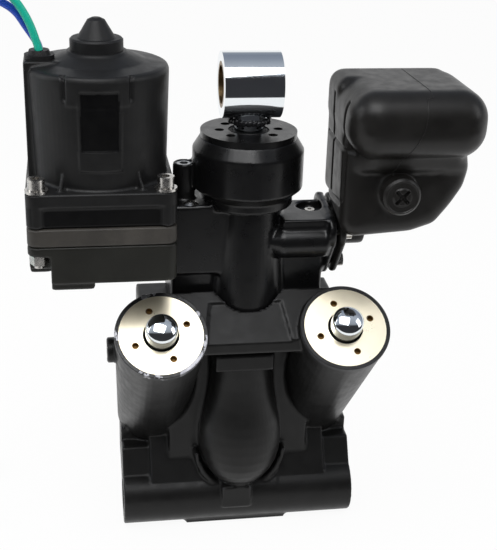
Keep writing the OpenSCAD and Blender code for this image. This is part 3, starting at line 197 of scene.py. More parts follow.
# Cloudy colour and roughness, fine grain and slow waves: patch and grain are noise scales,
# and the rest are amounts
def makeFinish(name, colour, rough, metal=0.0, spread=0.18, patch=60, grain=1400, grainDepth=0.1,
               waveDepth=0.0, coat=0.0, coatRough=0.1, specular=0.5, stretch=None,
               roughSpread=0.06, wear=0.0):
    mat, tree, shader = nodeTools(name)
    cloud = addNoise(tree, patch, 4)
    plain = ramp(tree, cloud, [(0.3, shade(colour, 1 - spread)), (0.7, shade(colour, 1 + spread))])
    if wear:
        addWear(tree, shader, plain, wear)
    else:
        tree.links.new(plain, shader.inputs["Base Color"])
    smears = addNoise(tree, patch * 2.3, 5)
    dull = mapRange(tree, smears, rough - roughSpread, rough + roughSpread)
    tree.links.new(dull, shader.inputs["Roughness"])
    shader.inputs["Metallic"].default_value = metal
    shader.inputs["Specular IOR Level"].default_value = specular
    shader.inputs["Coat Weight"].default_value = coat
    shader.inputs["Coat Roughness"].default_value = coatRough
    heights = []
    if grainDepth:
        heights.append((addNoise(tree, grain, 2, 0.6, stretch), grainDepth))
    if waveDepth:
        heights.append((addNoise(tree, patch * 1.7, 2), waveDepth))
    if heights:
        addBump(tree, shader, heights)
    return mat


finishes = {
    # The record's own slots
    "casting": dict(colour=(0.0072, 0.0071, 0.0070), rough=0.38, grainDepth=0.09, waveDepth=0.06,
                    specular=0.24, wear=0.7),
    "tilt_casting": dict(colour=(0.0042, 0.0042, 0.0045), rough=0.31, grainDepth=0.03,
                         specular=0.34, coat=0.1, coatRough=0.2),
    "motor_paint": dict(colour=(0.0088, 0.0088, 0.0090), rough=0.42, grainDepth=0.08,
                        waveDepth=0.05, specular=0.24, wear=0.35),
    "pump_casting": dict(colour=(0.0122, 0.0123, 0.0102), rough=0.45, grainDepth=0.12,
                         waveDepth=0.07, specular=0.24, wear=0.4),
    "plate_casting": dict(colour=(0.038, 0.0345, 0.030), rough=0.5, grainDepth=0.3, spread=0.25,
                          specular=0.35),
    "champagne": dict(colour=(0.93, 0.85, 0.66), rough=0.3, metal=0.85, spread=0.03,
                      roughSpread=0.03, grainDepth=0),
    "chrome": dict(colour=(0.84, 0.88, 0.9), rough=0.075, metal=1.0, spread=0.02,
                   roughSpread=0.015, grainDepth=0),
    "stainless": dict(colour=(0.62, 0.60, 0.57), rough=0.25, metal=1.0, spread=0.12, patch=260,
                      grainDepth=0.06),
    "steel": dict(colour=(0.45, 0.46, 0.47), rough=0.34, metal=1.0, spread=0.1),
    "black_rubber": dict(colour=(0.0085, 0.0085, 0.009), rough=0.5, spread=0.2, grainDepth=0.06,
                         specular=0.28),
    "black_plastic": dict(colour=(0.0098, 0.0092, 0.0086), rough=0.36, spread=0.22,
                          grainDepth=0.05, waveDepth=0.08, specular=0.28),
    "bronze": dict(colour=(0.22, 0.15, 0.075), rough=0.4, metal=1.0, spread=0.1),
    "copper": dict(colour=(0.62, 0.27, 0.13), rough=0.36, metal=1.0, spread=0.1,
                   stretch=(1, 1, 0.1)),
    "magnet": dict(colour=(0.05, 0.05, 0.052), rough=0.6, spread=0.15),
    "green_wire": dict(colour=(0.004, 0.36, 0.25), rough=0.3, spread=0.06, grainDepth=0.02,
                       specular=0.4),
    "blue_wire": dict(colour=(0.010, 0.060, 0.42), rough=0.3, spread=0.06, grainDepth=0.02,
                      specular=0.4),
    # For pieces made below
    "weld": dict(colour=(0.02, 0.02, 0.022), rough=0.3, metal=0.5, spread=0.5, patch=400),
    "bandBlack": dict(colour=(0.0022, 0.0022, 0.0024), rough=0.35, spread=0.2, grainDepth=0.03,
                      specular=0.2),
    "holeShade": dict(colour=(0.16, 0.085, 0.02), rough=0.4, metal=0.7, spread=0.4, patch=300),
}
materials = {name: makeFinish(name, **spec) for name, spec in finishes.items()}
for row in frame["record"]["subparts"]:
    for place in bpy.data.objects[row["node"]].material_slots:
        place.material = materials[row["material_slot"]]
print("materials made", len(materials))


# A piece gets its finish, the body it rides on and the nodes it stands for
def dress(obj, body, slot, material=None, nodes=()):
    obj.data.materials.clear()
    obj.data.materials.append(material or materials[slot])
    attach(obj, body)
    if nodes:
        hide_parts(*nodes)
    return obj


def smoothShade(mesh, angle=None):
    mesh.polygons.foreach_set("use_smooth", [True] * len(mesh.polygons))
    if angle is not None:
        mesh.set_sharp_from_angle(angle=math.radians(angle))


def meshFrom(name, verts, faces):
    mesh = bpy.data.meshes.new(name)
    mesh.from_pydata([tuple(float(c) for c in v) for v in verts], [], faces)
    mesh.validate()
    mesh.update()
    return mesh


# Closed form turned around Z from (radius, height) points in mm
def lathe(name, outline, sides=64):
    verts, rings = [], []
    for r, z in outline:
        if r == 0:
            rings.append([len(verts)])
            verts.append((0, 0, z * mm))
            continue
        rings.append(list(range(len(verts), len(verts) + sides)))
        for i in range(sides):
            angle = 2 * math.pi * i / sides
            verts.append((r * mm * math.cos(angle), r * mm * math.sin(angle), z * mm))
    faces = []
    for a, b in zip(rings, rings[1:]):
        for i in range(sides):
            j = (i + 1) % sides
            if len(a) == 1 and len(b) == 1:
                break
            if len(a) == 1:
                faces.append((a[0], b[i], b[j]))
            elif len(b) == 1:
                faces.append((a[i], b[0], a[j]))
            else:
                faces.append((a[i], b[i], b[j], a[j]))
    mesh = meshFrom(name, verts, faces)
    work = bmesh.new()
    work.from_mesh(mesh)
    bmesh.ops.remove_doubles(work, verts=work.verts, dist=1e-7)
    bmesh.ops.recalc_face_normals(work, faces=work.faces)
    work.to_mesh(mesh)
    work.free()
    smoothShade(mesh, 35)
    return mesh


# 1 between low and high, falling to 0 over soft inside both ends
def band(value, low, high, soft):
    return np.clip((value - low) / soft, 0, 1) * np.clip((high - value) / soft, 0, 1)


# How cast forms are softened, in mm: how far the relaxing may fill a corner, where points snap back
# to the node's surface, and the amount of each smoothing
softening = {"fill": 3.0, "near": 0.15, "far": 0.4, "even": 0.5, "relax": 0.6, "finish": 0.4}


# A node's own form with a casting's soft corners: fine voxels are relaxed, which rounds the inner
# corners, and no point sinks more than the bite, so that outer edges stay as crisp as a casting's
def castForm(node, name, voxel, steps, bite, hold=None, shift=None, before=None, snap=True):
    mesh = bpy.data.objects[node].data.copy()
    work = bmesh.new()
    work.from_mesh(mesh)
    bmesh.ops.remove_doubles(work, verts=work.verts, dist=1e-6)
    bmesh.ops.recalc_face_normals(work, faces=work.faces)
    work.to_mesh(mesh)
    tree = BVHTree.FromBMesh(work) if snap else None
    work.free()
    obj = linked(name, mesh)
    remesh = obj.modifiers.new("voxels", "REMESH")
    remesh.mode = "VOXEL"
    remesh.voxel_size = voxel * mm
    evaluated = obj.evaluated_get(bpy.context.evaluated_depsgraph_get())
    fine = bpy.data.meshes.new_from_object(evaluated)
    obj.modifiers.clear()
    obj.data = fine
    fine.name = name
    relax(fine, steps, bite, hold, shift, before, tree)
    return obj


def normalsOf(mesh, co):
    mesh.vertices.foreach_set("co", (co * mm).ravel())
    mesh.update()
    normals = np.empty(len(co) * 3)
    mesh.vertices.foreach_get("normal", normals)
    return normals.reshape(-1, 3)


# Points that hardly left the node's own surface go back onto it, so that its faces stay true
def settle(co, tree):
    near, far = softening["near"], softening["far"]
    for i, at in enumerate(co):
        back = np.array(tree.find_nearest(Vector(at) * mm)[0] / mm) - at
        gap = np.linalg.norm(back)
        if gap < far:
            co[i] += back * min(1, (far - gap) / (far - near))
    return co


def relax(mesh, steps, bite, hold, shift, before, tree):
    count = len(mesh.vertices)
    co = np.empty(count * 3)
    mesh.vertices.foreach_get("co", co)
    co = co.reshape(-1, 3) / mm
    ends = np.empty(len(mesh.edges) * 2, int)
    mesh.edges.foreach_get("vertices", ends)
    ends = ends.reshape(-1, 2)
    a, b = ends[:, 0], ends[:, 1]
    neighbours = np.bincount(ends.ravel(), minlength=count).clip(1)

    def smooth(points, rounds, amount):
        points = points.copy()
        for _ in range(rounds):
            mean = np.empty_like(points)
            for k in range(3):
                fromB = np.bincount(a, points[b, k], count)
                fromA = np.bincount(b, points[a, k], count)
                mean[:, k] = (fromB + fromA) / neighbours
            points += (mean - points) * amount
        return points

    if before is not None:
        co = before(co, normalsOf(mesh, co))
    normals = normalsOf(mesh, smooth(co, 3, softening["even"]))
    free = np.ones(count) if hold is None else hold(co)
    wish = smooth(co, steps, softening["relax"]) - co
    depth = (wish * normals).sum(1)
    kept = np.clip(depth, -bite, softening["fill"])
    co = co + (wish + (kept - depth)[:, None] * normals) * free[:, None]
    co = smooth(co, 2, softening["finish"])
    if tree is not None:
        co = settle(co, tree)
    if shift is not None:
        co = shift(co, normalsOf(mesh, co))
    mesh.vertices.foreach_set("co", (co * mm).ravel())
    smoothShade(mesh)
    mesh.update()


# The two motor leads, with the routes that the CAD's leads have, in mm
leads = {
    "diameter": 4.6,
    "steps": 8,
    "green": [
        (-123.8, -26.6, 319), (-124.8, -26.6, 323), (-127.4, -26.6, 331.5), (-131, -26.6, 339.5),
        (-136, -26.6, 347), (-143, -27, 353.5), (-152, -28, 358), (-163, -29, 358),
        (-173, -30, 350), (-180, -31, 332), (-184, -31, 300), (-185, -31, 260), (-185, -30, 210),
        (-185, -28, 160), (-185, -26, 100), (-185, -24, 50), (-186, -20, 10), (-187, -10, -9.5),
        (-187, 8, -15.9), (-187, 26, -17.4), (-186, 44, -17.6), (-185, 58, -17.6),
    ],
    "blue": [
        (-123.8, -21.4, 319), (-125.2, -21.4, 323), (-130.5, -21.4, 331.5),
        (-136.2, -21.4, 339.8), (-144, -21.4, 345), (-153, -21, 347), (-162, -20, 345),
        (-170, -19, 337), (-175, -18, 322), (-178, -18, 300), (-179, -18, 260), (-179, -18, 200),
        (-179, -18, 140), (-179, -16, 80), (-179, -12, 40), (-179, -4, 7), (-179, 8, -9.5),
        (-179, 24, -16.4), (-180, 40, -17.5), (-180, 58, -17.6),
    ],
}


# A smooth curve through the points, with steps to each stretch
def smoothRoute(points, steps):
    p = np.array(points, float)
    out = []
    for i in range(len(p) - 1):
        a, b, c, d = p[max(i - 1, 0)], p[i], p[i + 1], p[min(i + 2, len(p) - 1)]
        square, cube = 2 * a - 5 * b + 4 * c - d, 3 * b - a - 3 * c + d
        for k in range(steps):
            t = k / steps
            out.append(0.5 * (2 * b + (c - a) * t + square * t * t + cube * t ** 3))
    out.append(p[-1])
    return np.array(out) * mm


def roundCurve(name, line, radius, sides):
    data = bpy.data.curves.new(name, "CURVE")
    data.dimensions = "3D"
    data.bevel_depth = radius * mm
    data.bevel_resolution = sides
    spline = data.splines.new("POLY")
    spline.points.add(len(line) - 1)
    for point, at in zip(spline.points, line):
        point.co = (*at, 1)
    return linked(name, data)


def makeLead(name, points, slot):
    line = smoothRoute(points, leads["steps"])
    obj = roundCurve(name, line, leads["diameter"] / 2, 5)
    obj.data.use_fill_caps = True
    obj.data.splines[0].use_smooth = True
    return dress(obj, "unit", slot), line


# Connector block at the leads' ends: lengths in mm, shares of the block's own sides
connectorLook = {
    "bevel": 0.8,
    "railWide": 0.34, "railLong": 0.72, "railThick": 1.1, "railSunk": 1.2,
    "sleeveAt": 0.25, "sleeveWide": 0.36, "sleeveLong": 3, "sleeveTall": 0.7,
}


def addBlock(work, centre, size):
    form = Matrix.Translation(centre) @ Matrix.Diagonal((*size, 1))
    bmesh.ops.create_cube(work, size=1, matrix=form)


def makeConnector():
    look = connectorLook
    low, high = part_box("lead_connector")
    mid, size = (low + high) / 2, high - low
    work = bmesh.new()
    addBlock(work, mid, size)
    bmesh.ops.bevel(work, geom=work.edges[:], offset=look["bevel"] * mm, segments=3,
                    affect="EDGES", profile=0.5)
    for up in (-0.5, 0.5):  # latch rails along the top and bottom
        rise = up * (size.z - look["railSunk"] * mm)
        addBlock(work, (mid.x, mid.y, mid.z + rise),
                 (size.x * look["railWide"], size.y * look["railLong"], look["railThick"] * mm))
    for across in (-look["sleeveAt"], look["sleeveAt"]):  # terminal sleeves at the open end
        deep = look["sleeveLong"] * mm
        addBlock(work, (mid.x + across * size.x, high.y - deep / 2, mid.z),
                 (size.x * look["sleeveWide"], deep, size.z * look["sleeveTall"]))
    mesh = bpy.data.meshes.new("leadConnector")
    work.to_mesh(mesh)
    work.free()
    smoothShade(mesh, 30)
    block = linked("leadConnector", mesh)
    return dress(block, "unit", "black_plastic", nodes=["lead_connector"])


connector = makeConnector()
greenLead, greenLine = makeLead("greenLead", leads["green"], "green_wire")
blueLead, blueLine = makeLead("blueLead", leads["blue"], "blue_wire")
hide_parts("lead_green")
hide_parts("lead_blue")
print("leads made")

# Where the tilt ram and the two trim rams stand: mm, and the trim rams' lean from upright
tiltBack = -8
trim = {"spread": 57.5, "ahead": -54, "rise": 151, "lean": math.radians(40)}


def trimMatrix(side):
    place = Vector((side * trim["spread"], trim["ahead"], trim["rise"])) * mm
    return Matrix.Translation(place) @ Matrix.Rotation(trim["lean"], 4, "X")


# Distance below the trim cap's plane and from the ram's axis
def trimDepth(co, side):
    d = co - np.array([side * trim["spread"], trim["ahead"], trim["rise"]])
    axis = np.array([0, -math.sin(trim["lean"]), math.cos(trim["lean"])])
    along = d @ axis
    return -along, np.linalg.norm(d - along[:, None] * axis, axis=1)


def tiltRadius(co):
    return np.hypot(co[:, 0], co[:, 1] - tiltBack)


# Lower casting: machined places soften only by their share
lowerLook = {
    "voxel": 0.95, "steps": 11, "bite": 0.4,
    "rimShare": 0.12, "rimRadius": 30, "rimDepth": 5,
    "tubeShare": 0.2, "tubeFrom": 78,
    "deckShare": 0.2, "deckZ": 108, "deckX": -2, "deckHalf": 34, "deckBack": 36,
    "footShare": 0.35, "footZ": 46, "footBack": 12, "footFrom": 50,
    "slotShare": 0.25, "slotHalf": 14, "slotZ": 14, "slotAhead": -14,
    "swell": 0.8, "swellZ": (6, 78, 26), "swellRadius": (10, 28.3, 0.6),
}


def lowerHold(co):
    look = lowerLook
    x, y, z = co.T
    free = np.ones(len(co))
    for side in (-1, 1):
        depth, radius = trimDepth(co, side)
        rim = (radius < look["rimRadius"]) & (depth < look["rimDepth"])
        free = np.where(rim, look["rimShare"], free)
    free = np.where(np.abs(x) > look["tubeFrom"], look["tubeShare"], free)
    beside = np.abs(x - look["deckX"])
    deck = (z > look["deckZ"]) & (beside < look["deckHalf"]) & (y < look["deckBack"])
    free = np.where(deck, look["deckShare"], free)
    foot = (z < look["footZ"]) & (y < look["footBack"]) & (np.abs(x) > look["footFrom"])
    free = np.where(foot, look["footShare"], free)
    slot = (np.abs(x) < look["slotHalf"]) & (z < look["slotZ"]) & (y < look["slotAhead"])
    return np.where(slot, look["slotShare"], free)


# The bottle's foot swells a little to meet the lip around it
def lowerShift(co, normals):
    look = lowerLook
    foot = band(co[:, 2], *look["swellZ"]) * (co[:, 1] < 0)
    foot = foot * band(tiltRadius(co), *look["swellRadius"]) * (normals[:, 1] < -0.05)
    return co + normals * (foot * look["swell"])[:, None]


lower = castForm("trim_manifold", "lowerCasting", lowerLook["voxel"], lowerLook["steps"],
                 lowerLook["bite"], lowerHold, lowerShift)
dress(lower, "unit", "casting", nodes=["trim_manifold"])

# Upper casting, with its machined collar round the tilt ram held crisp
upperLook = {
    "voxel": 0.9, "steps": 8, "bite": 0.4,
    "collarShare": 0.25, "collarZ": 219, "collarRadius": 36,
}


def upperHold(co):
    collar = (co[:, 2] > upperLook["collarZ"]) & (tiltRadius(co) < upperLook["collarRadius"])
    return np.where(collar, upperLook["collarShare"], 1.0)


upper = castForm("tilt_housing", "upperCasting", upperLook["voxel"], upperLook["steps"],
                 upperLook["bite"], upperHold)
dress(upper, "unit", "tilt_casting", nodes=["tilt_housing"])

pumpLook = {"voxel": 0.9, "steps": 6, "bite": 0.4}
pump = castForm("pump_housing", "pumpCasting", **pumpLook)
dress(pump, "unit", "pump_casting", nodes=["pump_housing"])


# Motor housing: a bare label recess under a raised pad between two slits, and a dark band
# round the flange. Spans are (low, high, soft edge)
motorLook = {
    "voxel": 0.85, "steps": 4, "bite": 0.3,
    "radius": 41.3, "frontFrom": 20,
    "labelX": (-102.6, -80.6, 0.6), "labelZ": (269.0, 303.2, 0.6), "labelIn": 0.9,
    "labelInset": 0.4,
    "padX": (-110.4, -74.6, 0.7), "padZ": (294, 312, 1.2), "padOut": 0.35,
    "slits": (-111.1, -74), "slitZ": (296.5, 314, 2), "slitIn": 1.7, "slitWide": 0.9,
    "wallHalf": 12, "wallZ": (257, 304, 1),
    "bandZ": (225.4, 237.6), "bandFrom": 38, "flangeHalf": 43, "flangeEdge": 0.7,
}
motorLow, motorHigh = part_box("motor_top_cap")
motorX, motorY = ((motorLow[k] + motorHigh[k]) / 2 / mm for k in (0, 1))


def motorShift(co, normals):
    look = motorLook
    x, z = co[:, 0], co[:, 2]
    front = (co[:, 1] < motorY - look["frontFrom"]) * (normals[:, 1] < -0.3)
    pad = band(x, *look["padX"]) * band(z, *look["padZ"])
    label = band(x, *look["labelX"]) * band(z, *look["labelZ"])
    across = np.clip(np.abs(x - motorX), 0, look["radius"])
    wall = motorY - np.sqrt(look["radius"] ** 2 - across ** 2)
    flat = front * (across < look["wallHalf"]) * band(z, *look["wallZ"])
    co[:, 1] += (wall - co[:, 1]) * flat  # the plain wall comes back over the node's own recess
    slit = np.zeros(len(co))
    for at in look["slits"]:
        groove = np.exp(-((x - at) / look["slitWide"]) ** 2) * band(z, *look["slitZ"])
        slit = np.maximum(slit, groove)
    out = pad * look["padOut"] * (1 - label) - label * look["labelIn"] - slit * look["slitIn"]
    return co + normals * (out * front)[:, None]


# Faces of the flange's inset band and of the recess, away from their edges
def motorIsDark(centre):
    look = motorLook
    x, y, z = (c / mm for c in centre)
    awayX, awayY = abs(x - motorX), abs(y - motorY)
    edge = min(abs(awayX - look["flangeHalf"]), abs(awayY - look["flangeHalf"]))
    onBand = look["bandZ"][0] < z < look["bandZ"][1] and max(awayX, awayY) > look["bandFrom"]
    inset = look["labelInset"]
    onLabel = (look["labelX"][0] + inset < x < look["labelX"][1] - inset
               and look["labelZ"][0] + inset < z < look["labelZ"][1] - inset
               and y < motorY - look["frontFrom"])
    return onBand and edge > look["flangeEdge"] or onLabel


motor = castForm("motor_housing", "motorHousing", motorLook["voxel"], motorLook["steps"],
                 motorLook["bite"], shift=motorShift)
dress(motor, "unit", "motor_paint", nodes=["motor_housing"])
motor.data.materials.append(materials["bandBlack"])
for face in motor.data.polygons:
    if motorIsDark(face.center):
        face.material_index = 1

plateLook = {"voxel": 0.9, "steps": 4, "bite": 0.3}
plate = castForm("adapter_plate", "adapterPlate", **plateLook)
dress(plate, "unit", "plate_casting", nodes=["adapter_plate"])

# The blow-moulded tank carries two upright and two level grooves on its inner side, as (y, z),
# and under its bulge the front runs back in a sloping shelf, down to a crease
tankLook = {
    "voxel": 0.8, "steps": 18, "bite": 2.5,
    "grooves": [
        ((-22.6, 292), (-24.4, 233)),
        ((-51.5, 293), (-48, 265), (-50, 234)),
        ((-6, 265), (-54, 264.3)),
        ((-3, 227), (-46, 230.6)),
    ],
    "grooveX": (40, 58.5, 3), "grooveFacing": (0.45, 2, 0.3), "depth": 1.6, "width": 1.1,
    "shelfZ": [253.4, 254.4, 262, 269, 275, 281],
    "shelfY": [-59.2, -61.2, -64, -68.5, -72.8, -76],
    "shelfX": (55, 126, 9), "shelfSpan": (253.4, 283, 0.4), "shelfFrom": -42,
}


def tankShelf(co, normals):
    look = tankLook
    x, y, z = co.T
    target = np.interp(z, look["shelfZ"], look["shelfY"])
    front = (y < look["shelfFrom"]) * (normals[:, 1] < 0.3)
    reach = band(z, *look["shelfSpan"]) * band(x, *look["shelfX"]) * front
    co[:, 1] += np.minimum(target - y, 0) * reach
    return co


def tankShift(co, normals):
    look = tankLook
    facing = band(-normals[:, 0], *look["grooveFacing"]) * band(co[:, 0], *look["grooveX"])
    cut = np.zeros(len(co))
    for line in look["grooves"]:
        for a, b in zip(line, line[1:]):
            a, b = np.array(a, float), np.array(b, float)
            t = np.clip(((co[:, 1:] - a) @ (b - a)) / ((b - a) @ (b - a)), 0, 1)
            away = np.linalg.norm(co[:, 1:] - a - t[:, None] * (b - a), axis=1)
            cut = np.maximum(cut, np.exp(-(away / look["width"]) ** 2))
    return co - normals * (cut * facing * look["depth"])[:, None]


tank = castForm("reservoir_tank", "reservoirTank", tankLook["voxel"], tankLook["steps"],
                tankLook["bite"], shift=tankShift, before=tankShelf, snap=False)
dress(tank, "unit", "black_plastic", nodes=["reservoir_tank"])
castings = (lower, upper, pump, motor, plate, tank)
print("castings made", [len(casting.data.vertices) for casting in castings])


# The tank's mould seam: a fine bead over the top and down the front, laid on the finished surface
seam = {
    "thick": 0.32, "topRays": 13, "topBack": -8, "topFront": -68, "topX": 93.5, "topLean": 0.03,
    "front": [  # heights and x, from the bottom up
        (250, 78.4), (255, 78.6), (262, 80.6), (269, 83.3), (276, 86.5), (283, 89.4),
        (292, 90.8), (299, 91.5), (303, 93),
    ],
    "frontZ": (300, 250, -1.5), "longestStep": 16,
    "above": 400, "before": -200,  # where the rays start
}


def makeSeam():
    tree = BVHTree.FromObject(tank, bpy.context.evaluated_depsgraph_get())
    down, inward = Vector((0, 0, -1)), Vector((0, 1, 0))
    points = []
    for y in np.linspace(seam["topBack"], seam["topFront"], seam["topRays"]):
        x = seam["topX"] - seam["topLean"] * (y - seam["topBack"])
        points.append(tree.ray_cast(Vector((x, y, seam["above"])) * mm, down)[0])
    heights, places = zip(*seam["front"])
    for z in np.arange(*seam["frontZ"]):
        start = Vector((np.interp(z, heights, places), seam["before"], z)) * mm
        hit = tree.ray_cast(start, inward)[0]
        if hit is not None and (hit - points[-1]).length < seam["longestStep"] * mm:
            points.append(hit)
    dress(roundCurve("tankSeam", points, seam["thick"], 2), "unit", "black_plastic")


makeSeam()

# Fill plug with a rolled rim, a dished face and a raised middle around its cross slot
plugLook = {
    "voxel": 0.4, "steps": 5, "bite": 0.6,
    "x": 82, "z": 241.4, "dishSpan": (4.8, 10.3, 1.2), "dish": 1.1,
}


def plugShift(co, normals):
    look = plugLook
    radius = np.hypot(co[:, 0] - look["x"], co[:, 2] - look["z"])
    facing = np.clip(-normals[:, 1], 0, 1) ** 3
    co[:, 1] += band(radius, *look["dishSpan"]) * look["dish"] * facing
    return co


plug = castForm("fill_plug", "fillPlug", plugLook["voxel"], plugLook["steps"], plugLook["bite"],
                shift=plugShift)
dress(plug, "fill", "black_plastic", nodes=["fill_plug"])

# Dark mouths of the spanner holes in the trim caps: heights are from the cap's plane, and the
# lengths inside are how far each edge stands within the hole
spanner = {
    "circle": 17.3, "radius": 2.2, "holes": 4, "turns": {"left": 22, "right": 18},
    "floor": -3.85, "floorTop": -3.5, "lip": -0.25, "outside": 0.06, "lipInside": 0.3,
    "floorInside": 0.4,
}


def makeSpannerCups(sideName, side):
    s, name = spanner, sideName + "SpannerCups"
    r = s["radius"]
    cup = lathe(name, [
        (0, s["floor"]), (r - s["outside"], s["floor"]), (r - s["outside"], s["lip"]),
        (r - s["lipInside"], s["lip"]), (r - s["floorInside"], s["floorTop"]), (0, s["floorTop"]),
    ], 24)
    work = bmesh.new()
    for k in range(s["holes"]):
        angle = math.radians(s["turns"][sideName] + 360 / s["holes"] * k)
        spot = Vector((math.cos(angle), math.sin(angle), 0)) * s["circle"] * mm
        copy = cup.copy()
        copy.transform(trimMatrix(side) @ Matrix.Translation(spot))
        work.from_mesh(copy)
        bpy.data.meshes.remove(copy)
    work.to_mesh(cup)
    work.free()
    dress(linked(name, cup), "unit", "bronze", materials["holeShade"])


makeSpannerCups("left", -1)
makeSpannerCups("right", 1)

# Trim rods with smoothly domed ends, turned on the CAD rod's own length
rodTip = {"radius": 10, "neck": 5, "crown": 5.5, "degrees": 5}


def makeRod(sideName, side):
    node, name = sideName + "_trim_rod", sideName + "RodTurned"
    r, neck, crown = rodTip["radius"], rodTip["neck"], rodTip["crown"]
    inside = trimMatrix(side).inverted()
    local = [inside @ v.co for v in bpy.data.objects[node].data.vertices]
    low, top = min(v.z for v in local) / mm, max(v.z for v in local) / mm
    step = min(v.z for v in local if math.hypot(v.x, v.y) > 0.9 * r * mm) / mm
    dome = []
    for degrees in range(0, 90, rodTip["degrees"]):
        a = math.radians(degrees)
        dome.append((r * math.cos(a), top - crown + crown * math.sin(a)))
    outline = [(0, low), (neck, low), (neck, step), (r, step)] + dome + [(0, top)]
    mesh = lathe(name, outline, 96)
    mesh.transform(trimMatrix(side))
    dress(linked(name, mesh), sideName + "_trim_ram", "chrome", nodes=[node])


makeRod("left", -1)
makeRod("right", 1)

# The cylinders' turned rims round the caps, the left one worn to bare metal in places
rimRing = {"inner": 26, "outer": 28.5, "deep": 3, "bevel": 0.3, "lift": 0.25}
rimWear = {
    "patch": 55, "bare": (-1.7, 1.8),
    "colours": [(0.5, (0.008, 0.008, 0.0085)), (0.7, (0.3, 0.3, 0.32))],
    "smears": 200, "rough": (0.3, 0.5), "grain": 700, "grainDepth": 0.25,
}


def makeWornRim():
    mat, tree, shader = nodeTools("wornRim")
    wear = mapRange(tree, addNoise(tree, rimWear["patch"], 6, 0.7), *rimWear["bare"])
    tree.links.new(ramp(tree, wear, rimWear["colours"]), shader.inputs["Base Color"])
    tree.links.new(wear, shader.inputs["Metallic"])
    dull = mapRange(tree, addNoise(tree, rimWear["smears"], 4), *rimWear["rough"])
    tree.links.new(dull, shader.inputs["Roughness"])
    addBump(tree, shader, [(addNoise(tree, rimWear["grain"], 3), rimWear["grainDepth"])])
    return mat


def makeRim(sideName, side, finish):
    inner, outer, deep, bevel, lift = rimRing.values()
    name = sideName + "Rim"
    mesh = lathe(name, [
        (inner, -deep), (inner, 0), (inner + bevel, lift), (outer - bevel, lift),
        (outer, lift - bevel), (outer, -deep), (inner, -deep),
    ], 128)
    mesh.transform(trimMatrix(side))
    dress(linked(name, mesh), "unit", "casting", finish)


makeRim("left", -1, makeWornRim())
makeRim("right", 1, materials["casting"])

# Rod wipers with lips that grip the rods: radii and heights, and the lips as steps from the rod
wipers = {
    "tilt": {"rod": 9.05, "outer": 12.6, "top": 266, "base": 261},
    "trim": {"rod": 10.05, "outer": 13, "top": -2, "base": -8},
    "lips": [(0, -0.6), (0.5, -0.1), (1.2, -0.9), (1.9, -0.15), (2.5, -0.8)],
    "shoulder": [(-0.4, -0.5), (0, -0.9)],
}


def makeWiper(name, node, size, matrix):
    rod, outer, top, base = size.values()
    lips = [(rod + out, top + up) for out, up in wipers["lips"]]
    shoulder = [(outer + out, top + up) for out, up in wipers["shoulder"]]
    mesh = lathe(name, [(rod, base)] + lips + shoulder + [(outer, base), (rod, base)], 64)
    mesh.transform(matrix)
    dress(linked(name, mesh), "unit", "black_rubber", nodes=[node])


makeWiper("tiltWiper", "tilt_wiper", wipers["tilt"], Matrix.Translation((0, tiltBack * mm, 0)))
makeWiper("leftWiper", "left_trim_wiper", wipers["trim"], trimMatrix(-1))
makeWiper("rightWiper", "right_trim_wiper", wipers["trim"], trimMatrix(1))

# The weld bead between the eye and the rod, laid in overlapping ripples
weld = {
    "ripples": 26, "radius": 11.9, "z": 272.6, "waver": 0.25, "tip": 0.5,
    "thick": 1.5, "shape": (1.15, 1.75, 1.2),
}


def makeWeld():
    work = bmesh.new()
    wide, long, tall = weld["shape"]
    for k in range(weld["ripples"]):
        angle = 2 * math.pi * k / weld["ripples"]
        swell = 1 + 0.18 * math.sin(k * 2.4) + 0.1 * math.cos(k * 5.1)  # a hand's uneven pace
        x, y = weld["radius"] * math.cos(angle), weld["radius"] * math.sin(angle) + tiltBack
        place = Vector((x, y, weld["z"] + weld["waver"] * math.sin(k * 1.7))) * mm
        turn = Matrix.Rotation(angle, 4, "Z") @ Matrix.Rotation(weld["tip"], 4, "X")
        size = Matrix.Diagonal((wide * swell, long, tall * swell, 1))
        bmesh.ops.create_icosphere(work, subdivisions=3, radius=weld["thick"] * mm,
                                   matrix=Matrix.Translation(place) @ turn @ size)
    mesh = bpy.data.meshes.new("weldBead")
    work.to_mesh(mesh)
    work.free()
    smoothShade(mesh)
    dress(linked("weldBead", mesh), "tilt_ram", "steel", materials["weld"])


makeWeld()
print("small pieces made")

# Floor, studio light and world
studio = {
    "floorSide": 0.9, "floorFront": 0.5, "floorBack": 3.2, "floorWidening": 3,
    "floorZ": -0.02, "floorColour": (0.86, 0.86, 0.86, 1), "floorGlow": 0.94,
    "lampsAim": (0, 0, 0.15),
    "lamps": [  # name, place, size, watts
        ("keyLamp", (-0.22, -0.58, 1.22), (1.0, 0.76), 10.5),
        ("sideLamp", (-1.2, 0.1, 0.7), (0.5, 0.9), 4),
        ("fillLamp", (1.2, -0.5, 0.8), (0.5, 0.9), 3),
    ],
    # What glossy rays find at each angle in degrees, from the front over the top to the back
    "room": [
        (-180, 0.95, 0.95, 0.95), (-62, 0.95, 0.95, 0.95), (-40, 0.9, 0.92, 0.94),
        (-33, 0.035, 0.036, 0.04), (38, 0.03, 0.03, 0.034), (46, 0.3, 0.32, 0.36),
        (76, 0.42, 0.45, 0.51), (110, 0.25, 0.28, 0.34), (130, 0.22, 0.25, 0.31),
        (150, 0.3, 0.33, 0.38), (158, 0.95, 0.95, 0.95), (180, 0.95, 0.95, 0.95),
    ],
    "daylight": 0.56,
}


# 1 for any of the named kinds of ray, such as those that see the pale backdrop
def anyOf(tree, *names):
    paths = tree.nodes.new("ShaderNodeLightPath")
    last = paths.outputs[names[0]]
    for name in names[1:]:
        node = tree.nodes.new("ShaderNodeMath")
        node.operation = "MAXIMUM"
        tree.links.new(last, node.inputs[0])
        tree.links.new(paths.outputs[name], node.inputs[1])
        last = node.outputs[0]
    return last


